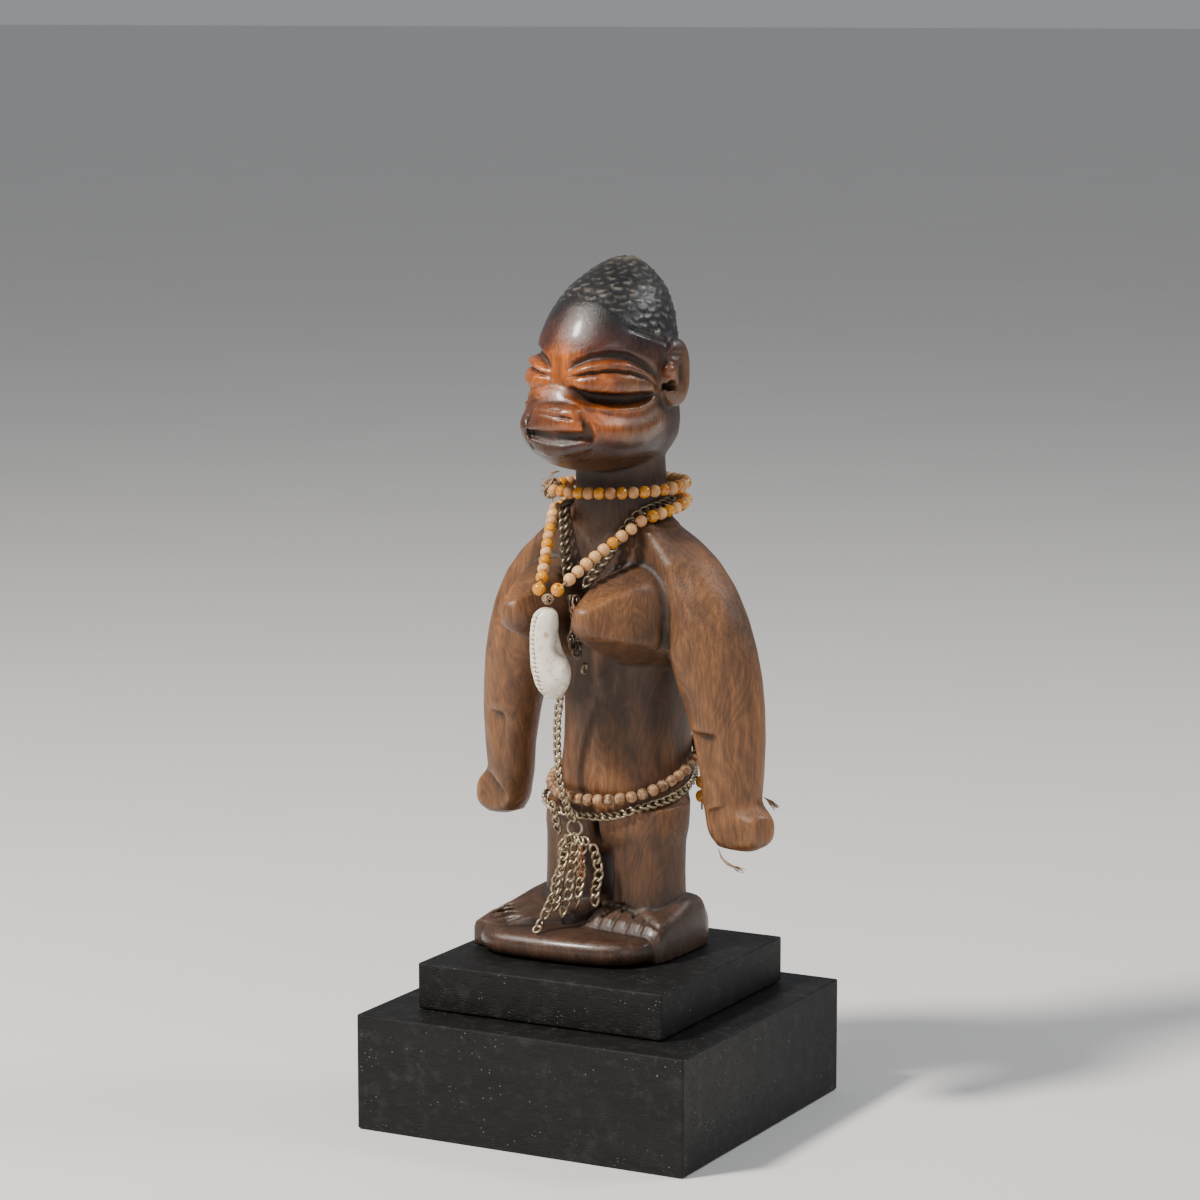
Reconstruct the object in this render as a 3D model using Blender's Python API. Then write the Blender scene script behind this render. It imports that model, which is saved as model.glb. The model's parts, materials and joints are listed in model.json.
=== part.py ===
"""Carved wooden twin figure on a stepped plinth, dressed with bead strings, chains and a cowrie shell.

World frame: metres, +Z up, origin at the centre of the plinth's underside, the plinth's front face
towards -Y. The figure has a frame of its own, turned a little on the plinth: u to its left,
v to its back and w up from the sole of its foot slab. Sizes below are millimetres.
"""

import math

import bmesh
import bpy
from mathutils import Matrix, Vector
from mathutils.bvhtree import BVHTree

MM = 0.001
GAP = 0.3  # clearance between pieces that touch

# Plinth: width, depth and height of its two blocks
LOWER_BLOCK = (100.0, 97.4, 32.2)
UPPER_BLOCK = (75.0, 74.4, 12.8)
UPPER_BLOCK_PLACE = (-0.3, 1.0)
BLOCK_BEVEL = 0.5
UPPER_BLOCK_BASE = LOWER_BLOCK[2] + GAP
PLINTH_TOP = UPPER_BLOCK_BASE + UPPER_BLOCK[2]

# Figure frame on the plinth
FIGURE_PLACE = (-1.0, 13.6, PLINTH_TOP + GAP)
FIGURE_TURN = math.radians(-10)

# Mount pins between the upper block and the legs
PIN_RADIUS = 1.5
PIN_SIDES = 12
PIN_PLACE = (11.5, -2.0)  # (u, v) of the left pin; the right one mirrors it
PIN_BELOW = 8.0  # length in the block
PIN_ABOVE = 9.0  # length in the leg

# Horizontal sections of the figure: (w, centre v, half width, half depth)
HEAD = [
    (191.6, 1.6, 2.2, 2.6),
    (190.4, 1.0, 4.8, 5.4),
    (188.0, 0.1, 8.2, 9.3),
    (183.5, -1.8, 12.6, 14.6),
    (179.3, -3.2, 15.0, 17.4),
    (175.0, -4.4, 16.4, 19.2),
    (170.5, -5.4, 17.3, 20.6),
    (165.6, -6.2, 17.6, 21.6),
    (160.0, -6.4, 17.4, 21.4),
    (154.0, -6.8, 16.8, 21.0),
    (148.0, -8.6, 16.8, 24.4),
    (142.5, -8.8, 16.2, 25.0),
    (138.0, -8.2, 14.4, 22.0),
    (134.6, -7.4, 11.0, 16.4),
]
TORSO = [
    (143.0, -1.0, 12.4, 12.4),
    (128.0, 0.0, 12.7, 12.7),
    (122.0, 0.0, 13.4, 12.8),
    (117.0, 0.0, 17.0, 12.6),
    (110.0, 0.0, 23.0, 12.6),
    (104.0, 0.2, 26.0, 13.2),
    (96.0, 0.8, 25.5, 14.0),
    (88.0, 1.6, 22.5, 14.6),
    (80.0, 2.4, 19.6, 15.2),
    (72.0, 2.8, 18.0, 16.2),
    (64.0, 3.0, 17.4, 17.2),
    (56.0, 3.0, 17.2, 18.2),
    (49.0, 2.4, 17.4, 18.8),
    (44.5, 1.4, 18.2, 17.6),
    (41.5, 0.2, 19.6, 14.8),
    (38.0, -0.8, 20.6, 13.6),
    (33.0, -1.6, 20.8, 12.2),
]
# Arm and leg sections: (w, centre u, centre v, half along, half across); an arm's "along" points
# outwards and back by ARM_TURN
ARM = [
    (118.0, 11.0, 0.0, 7.0, 8.0),
    (114.5, 16.0, 0.0, 8.6, 9.6),
    (109.0, 21.0, -0.3, 10.4, 10.8),
    (102.0, 25.6, -0.8, 11.6, 11.4),
    (94.0, 29.4, -1.2, 12.2, 11.2),
    (86.0, 32.2, -1.5, 12.4, 10.6),
    (78.0, 34.6, -1.5, 12.0, 9.8),
    (70.0, 36.6, -1.4, 11.2, 9.0),
    (62.0, 38.2, -1.2, 10.2, 8.4),
    (61.0, 38.8, -1.2, 8.9, 7.0),
    (52.0, 39.0, -1.0, 8.6, 6.4),
    (44.0, 38.9, -0.8, 8.0, 6.2),
    (38.0, 39.8, -0.5, 7.0, 6.0),
]
ARM_TURN = math.radians(34)
LEG = [
    (40.0, 10.8, -1.6, 9.8, 11.0),
    (32.0, 11.6, -2.2, 9.6, 10.2),
    (22.0, 11.8, -2.4, 9.6, 9.6),
    (13.0, 11.8, -2.4, 9.8, 9.8),
    (6.0, 11.8, -2.2, 10.4, 10.6),
]

# Rounded masses: (centre, half sizes, turn about w in degrees)
EYE = ((10.2, -19.4, 157.4), (12.8, 4.8, 5.0), 53)
MUZZLE = ((0.0, -25.8, 146.0), (13.2, 10.6, 8.8), 0)
EAR = ((17.6, 1.0, 160.2), (2.4, 5.6, 9.2), 0)
HAND_LEFT = ((42.0, -0.4, 37.8), (9.0, 6.6, 6.0), 0)
HAND_RIGHT = ((-43.4, -0.4, 37.2), (7.4, 5.4, 6.0), 0)

# Breast, a blunt cone pointing forwards: (v, centre u, centre w, half width, half height)
BREAST = [
    (-2.0, 14.4, 93.5, 12.6, 14.6),
    (-12.0, 13.8, 94.2, 12.0, 13.4),
    (-20.0, 13.2, 94.8, 9.8, 10.8),
    (-27.0, 12.7, 95.2, 6.8, 7.4),
    (-32.0, 12.4, 95.6, 4.8, 5.0),
    (-34.6, 12.3, 95.8, 2.4, 2.6),
]

# Foot slab outline (u, v) and feet as upright sections: (v, centre u, half width, top w)
SLAB = [
    (-28.0, -29.0),
    (-18.0, -38.4),
    (0.0, -37.0),
    (12.0, -34.4),
    (21.5, -30.0),
    (26.0, -23.0),
    (26.6, -10.0),
    (25.0, 4.0),
    (19.0, 13.4),
    (-19.0, 13.4),
    (-26.0, 4.0),
    (-29.0, -14.0),
]
SLAB_HEIGHT = 6.4
SLAB_ROUNDING = 2.6
LEFT_FOOT = [
    (-17.4, 12.8, 12.6, 8.2),
    (-15.4, 13.0, 13.2, 10.8),
    (-8.0, 12.8, 13.0, 13.2),
    (0.0, 12.6, 12.6, 15.6),
    (8.0, 12.2, 11.4, 14.4),
    (12.2, 12.0, 9.6, 10.0),
]
RIGHT_FOOT = [
    (-33.0, -22.4, 5.0, 7.6),
    (-25.0, -19.4, 8.4, 9.4),
    (-16.0, -15.8, 12.4, 11.2),
    (-8.0, -14.0, 13.2, 13.6),
    (0.0, -12.8, 12.6, 15.6),
    (8.0, -12.2, 11.4, 14.4),
    (12.2, -12.0, 9.6, 10.0),
]

# Strings and chains
BEAD_RADIUS = 1.8
BEAD_PITCH = 3.3
CHAIN_RADIUS = 1.0
THREAD_RADIUS = 0.4
CHAIN_STEP = 2.6

# Routes as (u, v, w); a loop runs round the body from the front to the figure's left
CHOKER = [
    (-10.6, -16.6, 127.6),
    (0, -18.8, 127.8),
    (14, -11.5, 128.2),
    (18.6, 2, 128.8),
    (13, 14, 129.2),
    (0, 18, 129.0),
    (-13, 13, 128.4),
    (-18.4, 1, 128.0),
    (-17.2, -7.6, 127.8),
]
NECKLACE = [
    (5.6, -30.2, 106.0),
    (8.0, -22.4, 111.6),
    (11.6, -13.5, 117.2),
    (15.8, -3.0, 121.8),
    (17.6, 6.0, 123.6),
    (12.6, 15.0, 124.2),
    (0, 18.6, 124.2),
    (-12.6, 15.0, 123.8),
    (-18.2, 4.0, 122.8),
    (-16.8, -8.0, 121.6),
    (-12.8, -15.4, 117.6),
    (-8.0, -23.2, 111.6),
    (-3.8, -30.4, 105.8),
]
NECK_CHAIN = [
    (2.8, -20.2, 102.6),
    (5.4, -17.4, 107.6),
    (8.0, -14.2, 112.6),
    (9.8, -12.4, 117.4),
    (13.2, -6.4, 122.4),
    (14.6, 2.0, 124.4),
    (10.6, 10.8, 124.8),
    (0, 15.0, 124.8),
    (-10.6, 10.4, 124.6),
    (-14.0, 0, 124.2),
    (-12.2, -9.6, 121.4),
    (-7.2, -16.0, 112.4),
    (-2.4, -20.2, 102.6),
]
WAIST_BEADS = [
    (0, -20.6, 43.0),
    (11.5, -16.0, 43.4),
    (19.2, -6.5, 46.4),
    (21.0, 3.5, 50.6),
    (16.0, 15.0, 54.0),
    (0, 23.4, 55.0),
    (-16.0, 15.0, 52.0),
    (-21.0, 2.0, 48.4),
    (-19.0, -8.0, 45.4),
    (-11.0, -16.6, 43.6),
]
WAIST_CHAIN = [
    (0, -17.0, 38.0),
    (9.0, -15.0, 38.4),
    (17.6, -8.2, 41.2),
    (21.6, 2.0, 45.4),
    (16.0, 13.0, 48.6),
    (0, 21.4, 49.6),
    (-16.0, 13.0, 46.8),
    (-21.8, 1.0, 43.0),
    (-19.4, -8.0, 39.8),
    (-10.0, -15.4, 38.0),
]
BELLY_CHAIN = [
    (-1.4, -22.0, 79.6),
    (-4.2, -22.6, 71.0),
    (-4.9, -22.8, 61.0),
    (-3.8, -23.4, 50.0),
    (-2.0, -24.6, 45.6),
]
HIP_CHAIN = [
    (-8.4, -20.4, 41.2),
    (-8.5, -18.6, 36.6),
    (-8.6, -17.2, 32.2),
]
# Tassel strands from the figure's right to its left, each from its top to its foot
TASSEL_PIVOT = (-1.0, -19.6, 35.0)
TASSEL_STRANDS = [
    [(-4.9, -19.4, 30.8), (-5.7, -20.0, 20.0), (-6.8, -21.6, 11.4)],
    [(-2.6, -21.0, 31.0), (-3.4, -23.4, 22.0), (-4.6, -26.4, 13.4), (-4.6, -31.0, 8.6)],
    [(-0.6, -19.8, 30.6), (-1.2, -21.6, 20.0), (-2.0, -23.4, 10.4)],
    [(1.6, -19.4, 30.6), (1.2, -19.8, 20.0), (0.4, -20.4, 13.0)],
    [(4.4, -18.8, 30.6), (6.4, -17.6, 25.0), (5.6, -17.8, 18.5), (4.6, -18.4, 13.6)],
]
TASSEL_RADIUS = 0.9
RING_RADIUS = 2.2
RING_WIRE = 0.5
TWIST = [(2.9, -21.8, 30.4), (3.0, -22.0, 23.6)]
TWIST_RADIUS = 0.5

HIP_THREAD = [(20.8, 9.8, 49.6), (20.8, 9.8, 48.0)]
HIP_BEADS = [(20.8, 9.8, 45.8), (20.8, 9.8, 41.8)]
CHIN_THREAD = [(-1.0, -26.4, 134.6), (-1.4, -29.0, 134.2), (-1.8, -31.0, 133.0)]
HAND_THREADS = [
    [(36.6, -4.0, 31.4), (38.4, -4.6, 29.0), (41.6, -5.0, 27.4), (46.4, -5.0, 26.4)],
    [(45.6, 4.6, 45.4), (48.0, 5.0, 44.2), (50.4, 5.0, 42.4)],
]

# Cowrie pendant and the cord that carries it
AMBER_HALVES = (1.9, 1.9, 1.8)
PENDANT_PIVOT = (0.9, -33.4, 102.6)
CORD_KNOT = ((0.5, -33.0, 100.8), (1.7, 1.5, 1.2))
AMBER_BEADS = [(-2.4, -33.4, 103.0), (4.0, -33.4, 103.4)]
# Cowrie sections downwards: (w, centre u, centre v, half width, half depth)
COWRIE = [
    (98.4, 0.2, -32.8, 0.7, 0.7),
    (97.5, 0.2, -32.8, 2.0, 2.0),
    (96.2, 0.2, -32.8, 3.4, 3.2),
    (93.0, -0.2, -32.8, 4.6, 4.2),
    (88.0, -0.4, -32.6, 4.9, 4.5),
    (83.0, 0.0, -32.2, 5.2, 4.7),
    (79.0, 0.6, -31.9, 5.7, 4.9),
    (76.0, 0.5, -31.7, 5.2, 4.6),
    (73.8, 0.1, -31.6, 3.6, 3.4),
    (72.6, 0.0, -31.5, 1.6, 1.6),
]
CHEST_KNOT = ((0.4, -20.6, 91.4), (3.2, 3.2, 9.6))
KNOT_LOOP = (3.0, -20.4, 80.0)
CHOKER_KNOT = ((-15.0, -12.6, 127.6), (1.9, 1.9, 2.4))

RING_SIDES = 28
VOXEL = 0.9
FIGURE_TRIANGLES = 6000


def clear_scene():
    for obj in list(bpy.data.objects):
        bpy.data.objects.remove(obj)


def material(name, colour, roughness, metallic=0.0):
    made = bpy.data.materials.new(name)
    made.use_nodes = True
    shader = made.node_tree.nodes["Principled BSDF"]
    shader.inputs["Base Color"].default_value = (*colour, 1)
    shader.inputs["Roughness"].default_value = roughness
    shader.inputs["Metallic"].default_value = metallic
    return made


def figure_matrix():
    """From the figure's frame in millimetres to the world in metres."""
    place = Matrix.Translation(Vector(FIGURE_PLACE) * MM)
    return place @ Matrix.Rotation(FIGURE_TURN, 4, "Z") @ Matrix.Scale(MM, 4)


def link_object(name, data, mat, parent=None):
    """Object in the figure's frame, or in its parent's, which shares that frame's directions."""
    data.materials.append(mat)
    obj = bpy.data.objects.new(name, data)
    bpy.context.scene.collection.objects.link(obj)
    if parent:
        obj.parent = parent
    return obj


def add_mesh(name, bm, mat, pivot=None, smooth_angle=40):
    """The bmesh, drawn in the figure's millimetres, as an object whose origin is at pivot."""
    place = figure_matrix()
    origin = place @ Vector(pivot or (0, 0, 0))
    bm.transform(Matrix.Translation(-origin) @ place)
    bmesh.ops.recalc_face_normals(bm, faces=bm.faces)
    mesh = bpy.data.meshes.new(name)
    bm.to_mesh(mesh)
    bm.free()
    mesh.shade_smooth()
    mesh.set_sharp_from_angle(angle=math.radians(smooth_angle))
    obj = link_object(name, mesh, mat)
    obj.location = origin
    return obj


def add_modifier(obj, kind, **settings):
    made = obj.modifiers.new(kind.title(), kind)
    for key, value in settings.items():
        setattr(made, key, value)
    return made


def skin_rings(bm, rings, closed=False):
    """Skin over rings of equal point count, with a face at both ends unless it is closed."""
    loops = [[bm.verts.new(p) for p in ring] for ring in rings]
    count = len(loops[0])
    followers = loops[1:] + loops[:1] if closed else loops[1:]
    for upper, lower in zip(loops, followers):
        for i in range(count):
            j = (i + 1) % count
            bm.faces.new((upper[i], upper[j], lower[j], lower[i]))
    if not closed:
        bm.faces.new(loops[0])
        bm.faces.new(list(reversed(loops[-1])))


def oval(centre, half_a, half_b, axis_a, axis_b, sides=RING_SIDES):
    centre, axis_a, axis_b = Vector(centre), Vector(axis_a), Vector(axis_b)
    angles = [math.tau * i / sides for i in range(sides)]
    return [centre + axis_a * half_a * math.cos(t) + axis_b * half_b * math.sin(t) for t in angles]


def stack(bm, sections):
    """Upright mass from horizontal ovals (w, v, half width, half depth)."""
    skin_rings(bm, [oval((0, v, w), a, b, (1, 0, 0), (0, 1, 0)) for w, v, a, b in sections])


def limb(bm, sections, side=1, turn=0.0, sides=RING_SIDES):
    """Mass from horizontal ovals (w, u, v, half along, half across), mirrored by side."""
    along = (side * math.cos(turn), math.sin(turn), 0)
    across = (-side * math.sin(turn), math.cos(turn), 0)
    skin_rings(bm, [oval((side * u, v, w), a, b, along, across, sides) for w, u, v, a, b in sections])


def breast(bm, side):
    skin_rings(bm, [oval((side * u, v, w), a, b, (1, 0, 0), (0, 0, 1)) for v, u, w, a, b in BREAST])


def rounded_mass(bm, mass, side=1):
    """Ellipsoid (centre, half sizes, turn), mirrored across u by side."""
    (u, v, w), halves, turn = mass
    matrix = Matrix.Translation((side * u, v, w))
    matrix = matrix @ Matrix.Rotation(math.radians(side * turn), 4, "Z") @ Matrix.Diagonal((*halves, 1))
    bmesh.ops.create_uvsphere(bm, u_segments=24, v_segments=14, radius=1, matrix=matrix)


def foot(bm, sections):
    """Wedge-shaped foot from upright sections with rounded shoulders."""
    rings = []
    for v, u, half, top in sections:
        ring = []
        for t in (math.tau * i / 16 for i in range(16)):
            across = half * math.copysign(abs(math.cos(t)) ** 0.5, math.cos(t))
            rise = top / 2 * (1 + math.copysign(abs(math.sin(t)) ** 0.5, math.sin(t)))
            ring.append(Vector((u + across, v, rise)))
        rings.append(ring)
    skin_rings(bm, rings)


def slab(bm):
    """Foot slab, its upper edge rounded; it runs below w = 0, where the sole is cut flat."""
    middle = Vector((sum(u for u, v in SLAB), sum(v for u, v in SLAB))) / len(SLAB)
    rings = []
    for inset, w in ((0.4, -2.0), (0.0, 2.4), (0.0, SLAB_HEIGHT - SLAB_ROUNDING),
                     (0.3 * SLAB_ROUNDING, SLAB_HEIGHT - 0.3 * SLAB_ROUNDING), (SLAB_ROUNDING, SLAB_HEIGHT)):
        ring = []
        for corner in (Vector(p) for p in SLAB):
            point = corner - (corner - middle).normalized() * inset
            ring.append(Vector((point.x, point.y, w)))
        rings.append(ring)
    skin_rings(bm, rings)


def guide(obj):
    """Marks a cutter, which isn't a piece of the object."""
    obj.hide_render = True
    obj.display_type = "WIRE"
    return obj


def pin_bar(name, mat, side, radius, below, above):
    """Upright bar on one pin's axis, from below the plinth's top to above it."""
    u, v = PIN_PLACE
    bm = bmesh.new()
    low, high = -GAP - below, above
    rings = [oval((side * u, v, w), radius, radius, (1, 0, 0), (0, 1, 0), PIN_SIDES) for w in (high, low)]
    skin_rings(bm, rings)
    return add_mesh(name, bm, mat)


def pin_hole(side, mat, target):
    """Cuts a pin's hole, with clearance all round, in the upper block or the figure."""
    name = "pin_hole_left" if side > 0 else "pin_hole_right"
    cutter = bpy.data.objects.get(name)
    if not cutter:
        cutter = guide(pin_bar(name, mat, side, PIN_RADIUS + GAP, PIN_BELOW + GAP, PIN_ABOVE + GAP))
    add_modifier(target, "BOOLEAN", operation="DIFFERENCE", object=cutter, solver="EXACT")


def block(name, mat, size, place, base):
    """Rectangular block with eased edges."""
    bm = bmesh.new()
    bmesh.ops.create_cube(bm, size=1.0)
    bm.transform(Matrix.Diagonal((*(Vector(size) * MM), 1)))
    edges = list(bm.edges)
    bmesh.ops.bevel(bm, geom=edges, offset=BLOCK_BEVEL * MM, segments=2, profile=0.5, affect="EDGES")
    mesh = bpy.data.meshes.new(name)
    bm.to_mesh(mesh)
    bm.free()
    obj = link_object(name, mesh, mat)
    obj.location = Vector((*place, base + size[2] / 2)) * MM
    return obj


def carved_figure(mat, steel):
    """The figure, one piece of wood: its masses grown together, then cut flat and drilled below."""
    bm = bmesh.new()
    stack(bm, HEAD)
    stack(bm, TORSO)
    for side in (1, -1):
        limb(bm, ARM, side, ARM_TURN)
        limb(bm, LEG, side)
        breast(bm, side)
        rounded_mass(bm, EYE, side)
        rounded_mass(bm, EAR, side)
    for mass in (MUZZLE, HAND_LEFT, HAND_RIGHT):
        rounded_mass(bm, mass)
    foot(bm, LEFT_FOOT)
    foot(bm, RIGHT_FOOT)
    slab(bm)
    obj = add_mesh("carved_figure", bm, mat)
    add_modifier(obj, "REMESH", mode="VOXEL", voxel_size=VOXEL * MM)
    add_modifier(obj, "SMOOTH", factor=0.5, iterations=5)
    bpy.context.view_layer.update()
    grown = obj.evaluated_get(bpy.context.evaluated_depsgraph_get())
    full_count = sum(len(face.vertices) - 2 for face in grown.data.polygons)
    add_modifier(obj, "DECIMATE", ratio=FIGURE_TRIANGLES / full_count)
    bm = bmesh.new()
    bmesh.ops.create_cube(bm, size=1.0, matrix=Matrix.Translation((0, 0, -5)) @ Matrix.Diagonal((90, 90, 10, 1)))
    sole_cutter = guide(add_mesh("sole_cutter", bm, mat))
    add_modifier(obj, "BOOLEAN", operation="DIFFERENCE", object=sole_cutter, solver="EXACT")
    for side in (1, -1):
        pin_hole(side, steel, obj)
    return obj


class Dresser:
    """Lays strings on the figure so that each clears everything laid before it."""

    def __init__(self, obj):
        self.trees = []
        self.cover(obj)

    def cover(self, obj):
        """Adds an object to what later strings keep clear of, in the figure's millimetres."""
        bpy.context.view_layer.update()
        evaluated = obj.evaluated_get(bpy.context.evaluated_depsgraph_get())
        mesh = evaluated.to_mesh()
        to_figure = figure_matrix().inverted() @ evaluated.matrix_world
        points = [to_figure @ vertex.co for vertex in mesh.vertices]
        faces = [tuple(face.vertices) for face in mesh.polygons]
        evaluated.to_mesh_clear()
        self.trees.append(BVHTree.FromPolygons(points, faces))

    def clear_point(self, point, clearance):
        """The point, moved out of everything it is nearer to than clearance."""
        for tree in self.trees:
            place, normal, _, distance = tree.find_nearest(point)
            away = point - place
            inside = away.dot(normal) < 0
            if inside:
                point = place + normal * clearance
            elif distance < clearance:
                direction = away.normalized() if distance > 0.05 else normal
                point = place + direction * clearance
        return point

    def route(self, points, spacing, radius, closed):
        """Even points on a smooth curve through the given ones, clear of what is there."""
        path = even_curve([Vector(p) for p in points], spacing, closed)
        for _ in range(14):
            path = [self.clear_point(p, radius + GAP + 0.04) for p in path]
            path = relaxed(path, closed)
        for _ in range(6):
            path = [self.clear_point(p, radius + GAP + 0.04) for p in path]
        return path


def relaxed(path, closed):
    """Each point moved a little towards the middle of its neighbours."""
    count = len(path)
    result = list(path)
    for i in range(count):
        if closed or 0 < i < count - 1:
            middle = (path[i - 1] + path[(i + 1) % count]) / 2
            result[i] = path[i].lerp(middle, 0.3)
    return result


def even_curve(points, spacing, closed):
    """Catmull-Rom curve through points, cut into equal steps near spacing."""
    count = len(points)
    spans = count if closed else count - 1
    fine = []
    for i in range(spans):
        if closed:
            a, b, c, d = (points[(i + k) % count] for k in (-1, 0, 1, 2))
        else:
            a, b, c, d = (points[min(max(i + k, 0), count - 1)] for k in (-1, 0, 1, 2))
        for t in (k / 24 for k in range(24)):
            blend = 2 * b + (c - a) * t + (2 * a - 5 * b + 4 * c - d) * t ** 2 + (3 * b - a - 3 * c + d) * t ** 3
            fine.append(blend / 2)
    fine.append(points[0] if closed else points[-1])
    lengths = [0.0]
    for here, there in zip(fine, fine[1:]):
        lengths.append(lengths[-1] + (there - here).length)
    steps = max(2, round(lengths[-1] / spacing))
    result = []
    k = 0
    for i in range(steps if closed else steps + 1):
        target = lengths[-1] * i / steps
        while k < len(lengths) - 2 and lengths[k + 1] < target:
            k += 1
        part = (target - lengths[k]) / max(lengths[k + 1] - lengths[k], 1e-6)
        result.append(fine[k].lerp(fine[k + 1], min(part, 1.0)))
    return result


def path_frames(path, closed):
    """Direction and two steady cross directions at each point of a path."""
    count = len(path)
    frames = []
    cross = None
    for i in range(count):
        ahead = path[(i + 1) % count] if closed or i < count - 1 else path[i]
        behind = path[i - 1] if closed or i > 0 else path[i]
        direction = (ahead - behind).normalized()
        if cross is None:
            cross = direction.orthogonal()
        cross = (cross - direction * cross.dot(direction)).normalized()
        frames.append((direction, cross, direction.cross(cross)))
    return frames


def bead_string(name, mat, path, closed=False, sides=6):
    """Beads threaded on a path with one bead centred on each point."""
    bm = bmesh.new()
    rings = []
    for point, (direction, cross, upright) in zip(path, path_frames(path, closed)):
        for along, radius in ((-0.40, 0.55), (-0.20, 0.96), (0.20, 0.96), (0.40, 0.55)):
            centre = point + direction * along * BEAD_PITCH
            size = radius * BEAD_RADIUS
            rings.append(oval(centre, size, size, cross, upright, sides))
    skin_rings(bm, rings, closed)
    return add_mesh(name, bm, mat)


def chain_tube(name, mat, path, radius, closed=False, pivot=(0, 0, 0)):
    """Chain or thread as a plain round tube along a path."""
    place = figure_matrix()
    origin = place @ Vector(pivot)
    curve = bpy.data.curves.new(name, "CURVE")
    curve.dimensions = "3D"
    curve.bevel_depth = radius * MM
    curve.bevel_resolution = 1
    curve.use_fill_caps = True
    spline = curve.splines.new("POLY")
    spline.points.add(len(path) - 1)
    for slot, point in zip(spline.points, path):
        slot.co = (*(place @ point - origin), 1)
    spline.use_cyclic_u = closed
    obj = link_object(name, curve, mat)
    obj.location = origin
    return obj


def laid_chain(dresser, name, mat, points, radius, closed=False, pivot=(0, 0, 0), spacing=CHAIN_STEP):
    path = dresser.route(points, spacing, radius, closed)
    obj = chain_tube(name, mat, path, radius, closed, pivot)
    dresser.cover(obj)
    return obj


def laid_beads(dresser, name, mat, points, closed=False):
    path = dresser.route(points, BEAD_PITCH, BEAD_RADIUS, closed)
    obj = bead_string(name, mat, path, closed)
    dresser.cover(obj)
    return obj


def lump(name, mat, mass, pivot=None, segments=14, rings=9):
    """Rounded piece (centre, half sizes), such as a knot or a single bead."""
    centre, halves = mass
    bm = bmesh.new()
    matrix = Matrix.Translation(centre) @ Matrix.Diagonal((*halves, 1))
    bmesh.ops.create_uvsphere(bm, u_segments=segments, v_segments=rings, radius=1, matrix=matrix)
    return add_mesh(name, bm, mat, pivot or centre)


def wire_ring(name, mat, centre, radius, wire, axis, pivot=None):
    """Closed wire ring about the given axis."""
    axis = Vector(axis).normalized()
    cross = axis.orthogonal().normalized()
    path = oval(centre, radius, radius, cross, axis.cross(cross), 14)
    return chain_tube(name, mat, path, wire, True, pivot or centre)


def cowrie(mat):
    bm = bmesh.new()
    limb(bm, COWRIE, sides=16)
    top = COWRIE[0]
    return add_mesh("cowrie_shell", bm, mat, (top[1], top[2], top[0]))


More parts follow.
